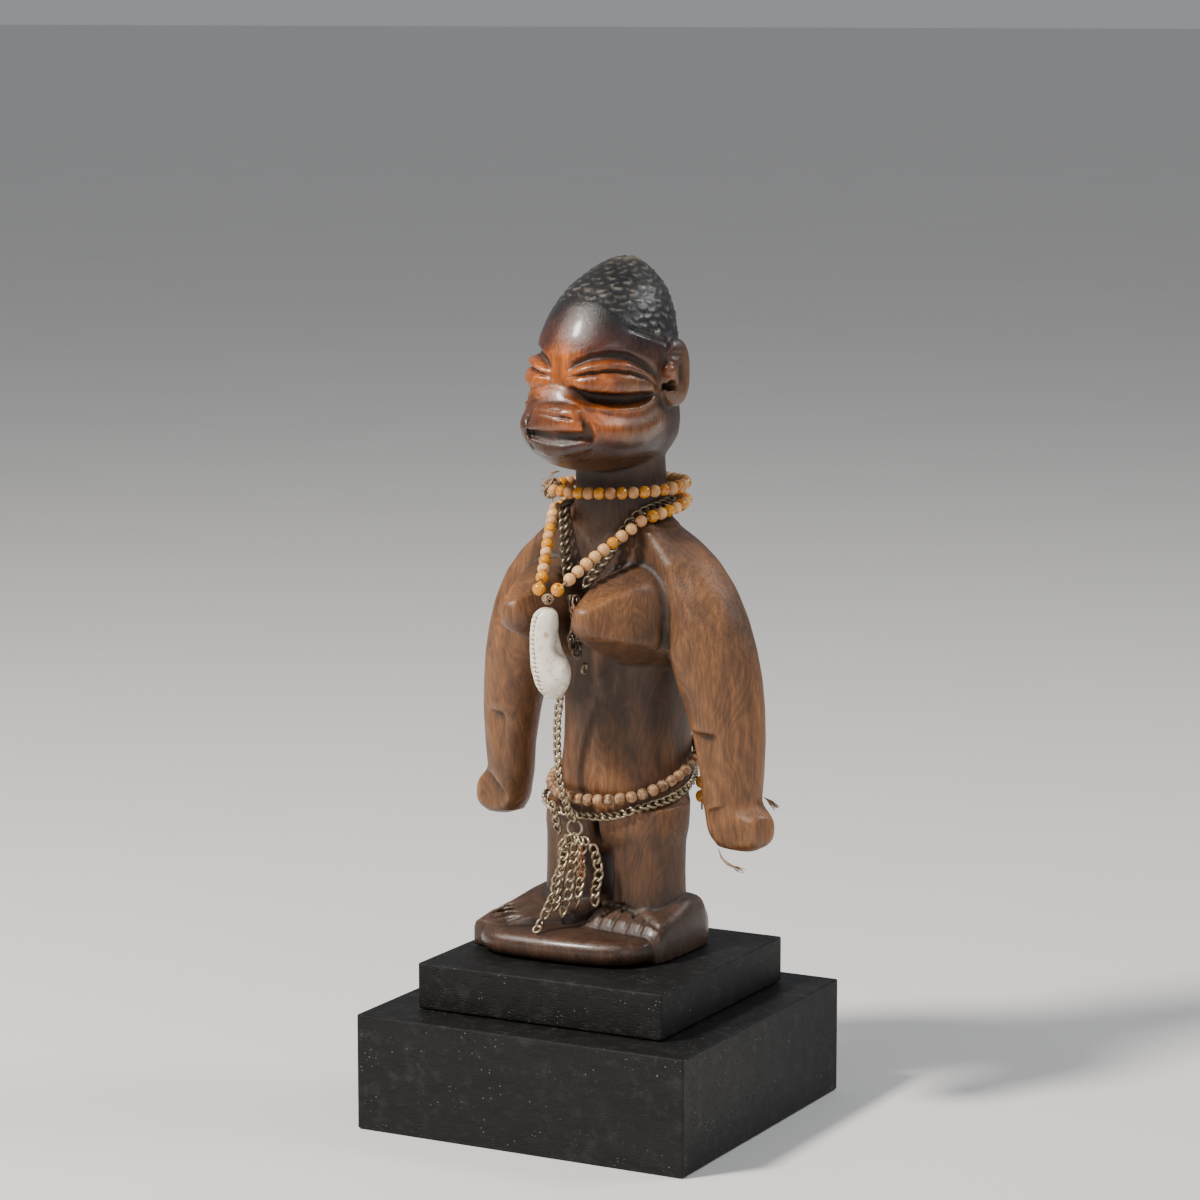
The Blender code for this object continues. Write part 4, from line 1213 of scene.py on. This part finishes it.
WAIST_CHAIN = [
    (0, -17.0, 38.0), (9.0, -15.0, 38.4), (17.6, -8.2, 41.2), (21.6, 2.0, 45.4), (16.0, 13.0, 48.6),
    (0, 21.4, 49.6), (-16.0, 13.0, 46.8), (-21.8, 1.0, 43.0), (-19.4, -8.0, 39.8), (-10.0, -15.4, 38.0),
]
BELLY_CHAIN = [
    (-1.4, -22.0, 79.6), (-4.2, -22.6, 71.0), (-4.9, -22.8, 61.0), (-3.8, -23.4, 50.0), (-2.0, -24.6, 45.6),
    (-0.6, -22.6, 40.4), (-0.8, -20.6, 37.2),
]
HIP_CHAIN = [(-8.4, -20.4, 41.2), (-8.5, -18.6, 36.6), (-8.6, -17.2, 32.2)]
# Strands from the figure's right to its left, each from its top to its foot
TASSEL_STRANDS = [
    [(-4.9, -19.4, 30.8), (-5.7, -20.0, 20.0), (-6.8, -21.6, 11.4)],
    [(-2.6, -21.0, 31.0), (-3.4, -23.4, 22.0), (-4.6, -26.4, 13.4), (-4.6, -31.0, 8.6)],
    [(-0.6, -19.8, 30.6), (-1.2, -21.6, 20.0), (-2.0, -23.4, 10.4)],
    [(1.6, -19.4, 30.6), (1.2, -19.8, 20.0), (0.4, -20.4, 13.0)],
    [(4.4, -18.8, 30.6), (6.4, -17.6, 25.0), (5.6, -17.8, 18.5), (4.6, -18.4, 13.6)],
]
LONG_STRAND = 2
TWIST = [(2.9, -21.8, 30.4), (3.0, -22.0, 23.6)]
HIP_THREAD = [(20.8, 9.8, 49.6), (20.8, 9.8, 38.0)]
HIP_BEADS = [(20.8, 9.8, 45.8), (20.8, 9.8, 41.8)]
CHIN_THREAD = [(-1.0, -26.4, 134.6), (-1.4, -29.0, 134.2), (-1.8, -31.0, 133.0)]
HAND_THREADS = [
    [(36.6, -4.0, 31.4), (38.4, -4.6, 29.0), (41.6, -5.0, 27.4), (46.4, -5.0, 26.4)],
    [(45.6, 4.6, 45.4), (48.0, 5.0, 44.2), (50.4, 5.0, 42.4)],
]
AMBER_BEADS = [(-2.4, -33.4, 103.0), (4.0, -33.4, 103.4)]
CORD_KNOT = ((0.3, -33.0, 100.4), (2.3, 2.0, 1.9))
CHOKER_KNOT = ((-15.0, -12.6, 127.6), (1.9, 1.9, 2.4))
SHELL_TURN = math.radians(38)
CHEST_KNOT = ((0.4, -20.6, 91.4), (3.2, 3.2, 9.6))
KNOT_LOOP = (3.0, -20.4, 80.0)
# Shell sections: (w, centre u, centre v, half width, half depth, squareness)
COWRIE = [
    (98.2, -0.2, -32.8, 1.2, 1.2, 2.0),
    (97.0, -0.4, -32.8, 3.0, 2.8, 2.0),
    (94.6, -0.8, -32.8, 3.7, 3.7, 2.1),
    (91.0, -1.1, -32.8, 3.9, 4.1, 2.1),
    (86.0, -0.4, -32.6, 4.6, 4.4, 2.1),
    (81.6, 0.7, -32.2, 5.5, 4.6, 2.1),
    (77.0, 0.9, -31.8, 4.7, 4.2, 2.1),
    (74.4, 0.9, -31.7, 3.2, 3.0, 2.0),
    (73.0, 0.9, -31.6, 1.2, 1.2, 2.0),
]


# ---------------------------------------------------------------- making the pieces


def soft_spot(points, centre, reach):
    """1 at centre, falling to 0 at reach."""
    away = np.linalg.norm((points - centre) / reach, axis=1)
    return np.clip(1 - away * away, 0, 1) ** 1.5


def drift(points, size, turn):
    """Slow irregular waves over the wood, from -1 to 1."""
    wave = 0
    for k in range(4):
        way = np.array((math.sin(turn + 2.1 * k), math.cos(1.7 * turn + k), 0.45 * math.sin(turn * k + 1.0)))
        bend = 0.8 * np.sin(points[:, 2] / size / 2.3)
        wave = wave + np.sin(points @ way * (1 + 0.6 * k) / size + turn * (k + 1) + bend)
    return np.clip(wave / 2.6, -1, 1)


# Colours of the wood
BROWN = np.array((0.088, 0.037, 0.0140))
TAN = np.array((0.215, 0.088, 0.029))
ORANGE = np.array((0.365, 0.088, 0.009))
DARK = np.array((0.024, 0.0125, 0.0080))
DUSTY = np.array((0.085, 0.042, 0.028))
HEAD_BROWN = np.array((0.036, 0.0135, 0.0072))
RED_BROWN = np.array((0.060, 0.0145, 0.0060))
BLACK = np.array((0.0050, 0.0046, 0.0048))
WORN_HAIR = np.array((0.16, 0.135, 0.105))


def paint_figure(points, clay):
    """Colour, gloss and hollow values at each point of the skin. The colour holds painted shade in the
    hollows, on the neck, in the collar hollow, on the upper belly and on the breasts' tops, and painted light
    on the breasts' fronts.
    """
    u, v, w = points.T
    edge = clay.sample(clay.blurred(EDGE_REACH), points)
    worn = smoothstep(0.03, 0.18, edge)
    hollow = smoothstep(0.04, 0.22, -edge)
    paint = np.tile(BROWN, (len(points), 1))

    def blend(mask, colour):
        paint[:] = paint + (colour - paint) * np.clip(mask, 0, 1)[:, None]

    slow, quick = drift(points, 9.0, 0.7), drift(points, 3.2, 2.9)
    arms = smoothstep(21, 27, np.abs(u)) * smoothstep(30, 40, w)
    blend(0.80 * arms * (0.75 + 0.35 * slow), TAN)
    for side in (1, -1):
        # painted light and shade: each breast's front facet made lighter as if lit, and a strip on its top
        # facet made darker as if shaded
        blend(1.1 * soft_spot(points, (side * 17, -27, 97), (12, 14, 9)), TAN * 1.15)
        blend(0.7 * soft_spot(points, (side * 9, -24, 108), (12, 14, 8)), DARK)
    blend(0.55 * smoothstep(60, 48, w) * smoothstep(30, 38, w) * (0.6 + 0.5 * slow), TAN)
    blend(0.30 * smoothstep(0.1, 0.9, slow) * (1 - arms), TAN)
    blend(0.36 * smoothstep(0.0, 0.8, -quick) * smoothstep(125, 100, w), DARK)
    # painted shadow: a dark band across the upper belly, where shadow falls below the breasts
    blend(0.55 * smoothstep(84, 76, w) * smoothstep(58, 66, w) * (1 - arms), DARK * 1.6)
    blend(0.72 * smoothstep(24, 12, w), DARK * 1.25)
    blend(0.35 * smoothstep(24, 12, w) * smoothstep(0.0, 0.8, quick), DUSTY)
    # painted shade: the neck darkened under the head and jaw
    blend(0.85 * smoothstep(119, 127, w) * smoothstep(138, 131, w), DARK)
    # painted shadow: a dark patch in the collar hollow below the neck and choker
    blend(0.7 * soft_spot(points, (0, -14, 112), (15, 11, 17)), DARK)
    head = smoothstep(132, 138, w)
    angle = np.degrees(np.arctan2(np.abs(u), -(v + 6)))
    face = head * smoothstep(118, 96, angle)
    blend(head, HEAD_BROWN)
    front = face * smoothstep(96, 56, angle) * (0.68 + 0.34 * quick)
    blend(0.95 * front * smoothstep(152, 156, w) * smoothstep(169, 163, w), ORANGE * 0.8)
    blend(0.9 * front * smoothstep(142, 147, w) * smoothstep(155, 151, w), ORANGE * 0.75)
    blend(0.95 * soft_spot(points, (1, -27, 165), (8, 10, 13)), ORANGE)
    blend(0.8 * soft_spot(points, (13, -22, 149), (8, 10, 6)), ORANGE * 1.1)
    blend(0.75 * soft_spot(points, (-7, -31, 147), (9, 9, 12)), DARK * 1.4)
    ears = smoothstep(15.5, 17.5, np.abs(u)) * head * smoothstep(172, 168, w)
    blend(0.75 * ears, TAN * 0.62)
    blend(0.8 * soft_spot(points, (18.4, -3.4, 161.0), (3, 3, 3)), ORANGE * 0.8)
    blend(face * smoothstep(166, 174, w + 7 * np.sin(np.radians(angle))), RED_BROWN)
    blend(head * smoothstep(171, 184, w + 10 * np.sin(np.radians(np.clip(angle, 0, 90)))), BLACK)
    hair = hair_mask(u, v, w) * head
    blend(hair, BLACK)
    blend(0.85 * hair * worn, WORN_HAIR)
    blend(0.28 * worn * (1 - hair), paint * 1.9)
    # painted shade: hollows and creases darkened
    blend(0.80 * hollow * (1 - hair), DARK * 0.7)
    gloss = 0.16 + 0.60 * face + 0.32 * worn + 0.12 * arms - 0.14 * hair
    gloss += 0.30 * smoothstep(16, 6, w)
    gloss *= 1 - 0.75 * hollow
    gloss *= 1 - 0.6 * soft_spot(points, (1, -33, 143), (11, 6, 5))
    return paint, np.clip(gloss, 0, 1), hollow


def make_figure():
    """The whole figure as one skin, with its colours, and the dresser that strings are laid with."""
    clay = sculpt_figure()
    points, quads = clay.surface()
    mesh = bpy.data.meshes.new("skin")
    mesh.from_pydata(points, [], quads)
    obj = bpy.data.objects.new("skin", mesh)
    bpy.context.scene.collection.objects.link(obj)
    thin = obj.modifiers.new("thin", "DECIMATE")
    thin.ratio = min(1.0, FIGURE_TRIANGLES / (2 * len(quads)))
    bpy.context.view_layer.update()
    lean = obj.evaluated_get(bpy.context.evaluated_depsgraph_get()).to_mesh()
    points = np.empty(len(lean.vertices) * 3)
    lean.vertices.foreach_get("co", points)
    points = points.reshape(-1, 3)
    faces = [tuple(face.vertices) for face in lean.polygons]
    bpy.data.objects.remove(obj)
    paint, gloss, hollow = paint_figure(points, clay)
    add_piece("carved_figure_skin", points, faces, carved_wood(), ROOT, ["carved_figure"], "carved_wood",
              {"paint": paint, "gloss": gloss, "hollow": hollow})
    return Dresser(points, faces)


def make_cowrie():
    """Shell hung on its end: a toothed slot to the figure's right of its middle, a hump low on the left."""
    shell = Clay((-8, -40, 70), (9, -25, 100), SHELL_CELL)
    shell.add(loft(COWRIE, turn=SHELL_TURN, soften=1.2), 0)
    shell.add(ball((3.6, -32.6, 79.8), (3.2, 2.8, 3.4)), 1.6)
    shell.cut(bar([(5.0, -30.4, 90.0), (4.6, -31.4, 87.6)], 2.2), 2.4)
    out = Vector((-0.40, -0.90, 0))
    along = Vector((0.90, -0.40, 0))
    middle = [Vector((u, v, w)) + out * (half * 0.98) for w, u, v, half, _, _ in COWRIE[1:-1]]
    line = even_curve(middle, 1.25)
    shell.cut(bar(line, 1.15), 0.4)
    for point in line[1:-1]:
        for side in (1, -1):
            root, tip = point + along * side * 1.5, point + along * side * 0.42
            shell.add(bar([root - out * 0.5, tip - out * 0.7], 0.3), 0.2)
    points, quads = shell.surface()
    hollow = smoothstep(0.04, 0.30, -shell.sample(shell.blurred(SHELL_EDGE_REACH), points))
    add_piece("cowrie_pendant", points, quads.tolist(), shell_surface(), "cowrie", ["cowrie_shell"], "cowrie",
              {"hollow": hollow})


def make_necklaces(dresser, clay_mat, amber_mat, fibre_mat):
    for node, centre, lean in zip(("amber_bead_right", "amber_bead_left"), AMBER_BEADS, (-0.55, 0.55)):
        parts = Parts()
        parts.take(*bead(Vector(centre), Vector((lean, -0.2, 0.8)), *AMBER_BEAD), 0.3)
        parts.place(node + "_glass", amber_mat, ROOT, [node], "amber_glass")
        dresser.cover_ball(centre, (1.9, 1.9, 1.8))
    dresser.cover_ball(*CORD_KNOT)
    dresser.cover_ball(*CHOKER_KNOT)
    dresser.cover([Vector((u, v, w)) for w, u, v, *_ in COWRIE], 4.2)
    threads = []
    for name, route, glass_share, dull in (("choker", CHOKER, 0.8, 0.45), ("necklace", NECKLACE, 0.85, 0.0)):
        path = dresser.route(route, BEAD_PITCH, BEAD_RADIUS)
        opaque, glassy = Parts(), Parts()
        for i, (point, (direction, _, _)) in enumerate(zip(path, path_frames(path, False))):
            glass = i % 2 and RNG.random() < glass_share
            size = BEAD_RADIUS * RNG.uniform(0.93, 1.03)
            length = BEAD_LENGTH * RNG.uniform(0.93, 1.0)
            shape = bead(point, direction, size, length, RNG.uniform(0.94, 1.0))
            (glassy if glass else opaque).take(*shape, dull + RNG.random() * 0.55)
        opaque.place(f"{name}_clay_beads", clay_mat, ROOT, [f"{name}_beads"], "clay_beads")
        glassy.place(f"{name}_glass_beads", amber_mat, ROOT, [f"{name}_beads"], "amber_glass")
        dresser.cover(path, BEAD_RADIUS)
        threads.append(path)
    choker, necklace = threads
    thread = Parts()
    for path in ([Vector(AMBER_BEADS[1]), *necklace, Vector(AMBER_BEADS[0])], choker):
        thread.take(*tube(even_curve(path, 1.2), THREAD_RADIUS, 7), 0.3)
    thread.place("neck_threads", fibre_mat, ROOT, ["necklace_beads"], "cord_fibre")


def make_waist(dresser, bead_mat, brass, fibre_mat):
    path = dresser.route(WAIST_BEADS, WAIST_BEAD_PITCH, WAIST_BEAD_REACH, True)
    parts = Parts()
    for point, (direction, _, _) in zip(path, path_frames(path, True)):
        size = WAIST_BEAD_RADIUS * RNG.uniform(0.92, 1.03)
        length = WAIST_BEAD_LENGTH * RNG.uniform(0.92, 1.02)
        parts.take(*bead(point, direction, size, length, RNG.uniform(0.93, 1)), RNG.random())
    parts.place("waist_bead_string", bead_mat, ROOT, ["waist_beads"], "clay_beads")
    dresser.cover(path, WAIST_BEAD_REACH, True)
    thread = Parts()
    thread.take(*tube(path, THREAD_RADIUS, 7, True), 0.5)
    thread.place("waist_bead_thread", fibre_mat, ROOT, ["waist_beads"], "cord_fibre")
    loop = dresser.route(WAIST_CHAIN, LINK_PITCH, CHAIN_RADIUS, True)
    dresser.cover(loop, CHAIN_RADIUS, True)
    links = Parts()
    chain(links, loop, True, dresser)
    add_links("waist_chain_links", links, brass, ROOT, ["waist_chain"], 0.25)


def add_links(name, links, mat, body, nodes, tarnish):
    amount = np.clip(tarnish + 0.25 * (np.array(links.tones) - 0.5), 0, 1)
    add_piece(name, links.points, links.faces, mat, body, nodes, "chain_metal",
              {"tone": links.tones, "tarnish": amount})


def make_chains(dresser, brass):
    path = dresser.route(NECK_CHAIN, LARGE_LINK_PITCH, CHAIN_RADIUS)
    dresser.cover(path, CHAIN_RADIUS)
    links = Parts()
    chain(links, path, dresser=dresser, hang=(0.8, -1.2, 0.3), length=4.2, width=3.5, wire=0.45)
    add_links("neck_chain_links", links, brass, ROOT, ["neck_chain"], 0.55)
    # the knot on the chest: loose lengths of the neck chain, bunched and hanging
    links = Parts()
    (u, v, w), (half, _, tall) = CHEST_KNOT
    for _ in range(7):
        x, y = RNG.uniform(-0.8, 0.8, 2) * half
        way = [
            (u + x * 0.7, v - 0.8 + y * 0.4, w + tall - 1.5),
            (u - x, v + y * 0.6 - 0.6, w + 3.0),
            (u + x * 0.9, v - y * 0.6 - 0.6, w - 3.5),
            (u - x * 0.3 + 0.4, v, w - tall + RNG.uniform(1.0, 8.0)),
        ]
        chain(links, even_curve(way, 2.4), hang=RNG.normal(0, 1, 3), loose=30, length=4.0)
    add_links("chest_knot_links", links, brass, ROOT, ["chest_chain_knot"], 0.7)
    links = Parts()
    links.take(*link(Vector(KNOT_LOOP), Vector((0, 0.2, 1)), Vector((0, 1, 0.1)), 0, 3.4, 2.9, twist=12), 0.4)
    add_links("knot_loop_wire", links, brass, ROOT, ["knot_loop_link"], 0.3)
    for node, route, body in (("belly_chain", BELLY_CHAIN, ROOT), ("hip_chain", HIP_CHAIN, "hip_chain_end")):
        path = dresser.route(route, LINK_PITCH, CHAIN_RADIUS)
        if body == ROOT:
            dresser.cover(path, CHAIN_RADIUS)
        links = Parts()
        chain(links, path, dresser=dresser)
        add_links(f"{node}_links", links, brass, body, [node], 0.1)


def round_loop(centre, radius, side, up, count):
    """Points of a circle in the plane of side and up."""
    turns = (math.tau * i / count for i in range(count))
    return [centre + radius * (side * math.cos(turn) + up * math.sin(turn)) for turn in turns]


def make_tassel(dresser, brass, copper):
    ring = Parts()
    axis = Vector((0.2, -1, 0)).normalized()
    side = axis.orthogonal().normalized()
    loop = round_loop(TASSEL_PIVOT, RING_RADIUS, side, axis.cross(side), 28)
    ring.take(*tube(loop, RING_WIRE, 8, True), 0.5)
    add_links("tassel_ring_wire", ring, brass, "tassel", ["tassel_ring"], 0.05)
    for i, route in enumerate(TASSEL_STRANDS, 1):
        path = dresser.route(route, LARGE_LINK_PITCH, TASSEL_RADIUS)
        path = [p + Vector(RNG.normal(0, 0.28, 3)) for p in path]
        links = Parts()
        top = TASSEL_PIVOT + Vector((0.15 * (i - 3), 0, -RING_RADIUS))
        chain(links, [top, *path], hang=(0.6, -1, 0.1), loose=24, length=4.15, width=2.95)
        if i == LONG_STRAND:
            run = path[-1] - path[-2]
            end = path[-1] + run.normalized() * 0.9
            links.take(*link(end, run, Vector((1, 0.2, 0)), 0, 3.2, 3.0, twist=10), 0.4)
        add_links(f"tassel_strand_{i}_links", links, brass, f"strand_{i}", [f"tassel_strand_{i}"], 0.05)
    make_twist(copper)


def make_twist(copper):
    """Two copper wires wound round each other, with an eye at the foot."""
    twist = Parts()
    line = even_curve(TWIST, 0.35)
    for start in (0, math.pi):
        wire = []
        for i, point in enumerate(line):
            turn = start + i * 0.55
            wire.append(point + 0.26 * Vector((math.cos(turn), math.sin(turn), 0)))
        twist.take(*tube(wire, TWIST_WIRE, 6), 0.3)
    turns = np.arange(14) / 14 * math.tau
    eye = [line[-1] + Vector((0.9 * math.sin(t), 0.1, -0.9 + 0.9 * math.cos(t))) for t in turns]
    twist.take(*tube(eye, TWIST_WIRE, 6, True), 0.3)
    twist.place("copper_twist_wires", copper, "strand_4", ["copper_wire_twist"], "copper_wire")


def make_fibres(amber_mat, fibre_mat):
    # Knots: the cord's loops, how far they swell, then the fluff's reach, hairs and spread
    for name, (centre, halves), node, body, loops, swell, reach, hairs, spread in (
        ("pendant_knot_cord", CORD_KNOT, "pendant_cord_knot", "pendant_knot", 12, 0.86, 0.9, 26, 0.1),
        ("choker_knot_cord", CHOKER_KNOT, "choker_knot", ROOT, 24, 1.35, 4.6, 60, 0.4),
    ):
        parts = Parts()
        tangle(parts, centre, [swell * half for half in halves], loops)
        for _ in range(hairs):
            end = Vector(centre) + Vector(RNG.normal(0, 1, 3)).normalized() * reach
            frayed(parts, [centre, end], 1, spread, 0.1)
        parts.place(name, fibre_mat, body, [node], "cord_fibre")
    for name, route, strands, spread in (
        ("chin_thread", CHIN_THREAD, 4, 0.5),
        ("hand_thread_long", HAND_THREADS[0], 14, 0.45),
        ("hand_thread_short", HAND_THREADS[1], 14, 0.6),
    ):
        parts = Parts()
        frayed(parts, route, strands, spread, 0.18)
        parts.place(f"{name}_fibres", fibre_mat, ROOT, [name], "cord_fibre")
    straw = Parts()
    for _ in range(9):
        start = Vector((1.2, -23.0, 98.0)) + Vector(RNG.normal(0, 0.6, 3))
        run = Vector((RNG.uniform(0, 2.4), RNG.uniform(-1.6, 0.2), RNG.uniform(-3.6, -1.2)))
        frayed(straw, [start, start + run], 1, 0.3, 0.16)
    straw.place("chest_straw_fibres", straw_fibre(), ROOT, ["chest_chain_knot"], "cord_fibre")
    thread = Parts()
    thread.take(*tube(even_curve(HIP_THREAD, 0.8), 0.3, 7), 0.4)
    thread.place("hip_thread_cord", fibre_mat, "hip_tail", ["hip_thread"], "cord_fibre")
    for node, centre in zip(("hip_bead_upper", "hip_bead_lower"), HIP_BEADS):
        parts = Parts()
        parts.take(*bead(Vector(centre), Vector((0, 0, 1)), *AMBER_BEAD), 0.6)
        parts.place(f"{node}_glass", amber_mat, "hip_tail", [node], "amber_glass")


def dress_plinth():
    """Finishes of the CAD pieces that are kept."""
    for finish, names in (
        (stained_wood(), ("plinth_lower_block", "plinth_upper_block")),
        (brushed_steel(), ("mount_pin_left", "mount_pin_right")),
    ):
        for name in names:
            frame["nodes"][name].data.materials.clear()
            frame["nodes"][name].data.materials.append(finish)


# ---------------------------------------------------------------- stage, lights and camera

CAMERA_AZIMUTH = 27.96
CAMERA_ELEVATION = 8.74
CAMERA_DISTANCE = 1.0685
CAMERA_TARGET = Vector((-0.0004, -0.0002, 0.1437))
CAMERA_LENS = 117
FLOOR_HALF_WIDTH = 40.0


def spot_direction(azimuth, elevation):
    """Unit vector from the object towards a viewer at this azimuth and elevation."""
    a, e = math.radians(azimuth), math.radians(elevation)
    return Vector((math.sin(a) * math.cos(e), -math.cos(a) * math.cos(e), math.sin(e)))


def aim(obj, azimuth, elevation, distance):
    """Stands a light or camera off from the object, pointed at it."""
    way = spot_direction(azimuth, elevation)
    obj.location = CAMERA_TARGET + way * distance
    obj.rotation_mode = "QUATERNION"
    obj.rotation_quaternion = way.to_track_quat("Z", "Y")
    bpy.context.scene.collection.objects.link(obj)


def area_light(name, azimuth, elevation, distance, size, watts, colour):
    data = bpy.data.lights.new(name, "AREA")
    data.shape = "DISK"
    data.size = size
    data.energy = watts
    data.color = colour
    aim(bpy.data.objects.new(name, data), azimuth, elevation, distance)


def pale_floor():
    s = Surface("pale_floor_finish")
    cloud = s.noise(0.01, 2)
    mat = s.finish(Base_Color=s.mix(cloud, (0.74, 0.73, 0.71), (0.78, 0.77, 0.75)), Roughness=0.7)
    bm = bmesh.new()
    bmesh.ops.create_grid(bm, x_segments=1, y_segments=1, size=FLOOR_HALF_WIDTH)
    mesh = bpy.data.meshes.new("pale_floor")
    bm.to_mesh(mesh)
    bm.free()
    mesh.materials.append(mat)
    obj = bpy.data.objects.new("pale_floor", mesh)
    obj.location.z = CAD_BOX[0].z - 0.0002
    bpy.context.scene.collection.objects.link(obj)


def set_stage():
    pale_floor()
    world = bpy.data.worlds.new("studio")
    world.use_nodes = True
    sky = world.node_tree.nodes["Background"].inputs
    sky["Color"].default_value = (0.86, 0.88, 0.92, 1)
    sky["Strength"].default_value = 0.34
    bpy.context.scene.world = world
    area_light("key_light", -34, 48, 1.2, 0.20, 27, (1.0, 0.95, 0.88))
    area_light("front_light", 55, 18, 1.6, 0.7, 3.0, (0.96, 0.97, 1.0))
    area_light("rim_light", 125, 42, 1.3, 0.4, 7, (0.93, 0.96, 1.0))
    camera = bpy.data.cameras.new("photo_camera")
    camera.lens = CAMERA_LENS
    camera.sensor_width = 36
    camera.clip_start = 0.05
    obj = bpy.data.objects.new("photo_camera", camera)
    aim(obj, CAMERA_AZIMUTH, CAMERA_ELEVATION, CAMERA_DISTANCE)
    bpy.context.scene.camera = obj


dresser = make_figure()
clay_finish, amber_finish = clay_bead(), amber_glass()
brass_finish, fibre_finish = chain_metal(), fibre()
make_cowrie()
make_chains(dresser, brass_finish)
make_necklaces(dresser, clay_finish, amber_finish, fibre_finish)
make_waist(dresser, waist_bead(), brass_finish, fibre_finish)
make_tassel(dresser, brass_finish, copper_metal())
make_fibres(amber_finish, fibre_finish)
dress_plinth()
set_stage()
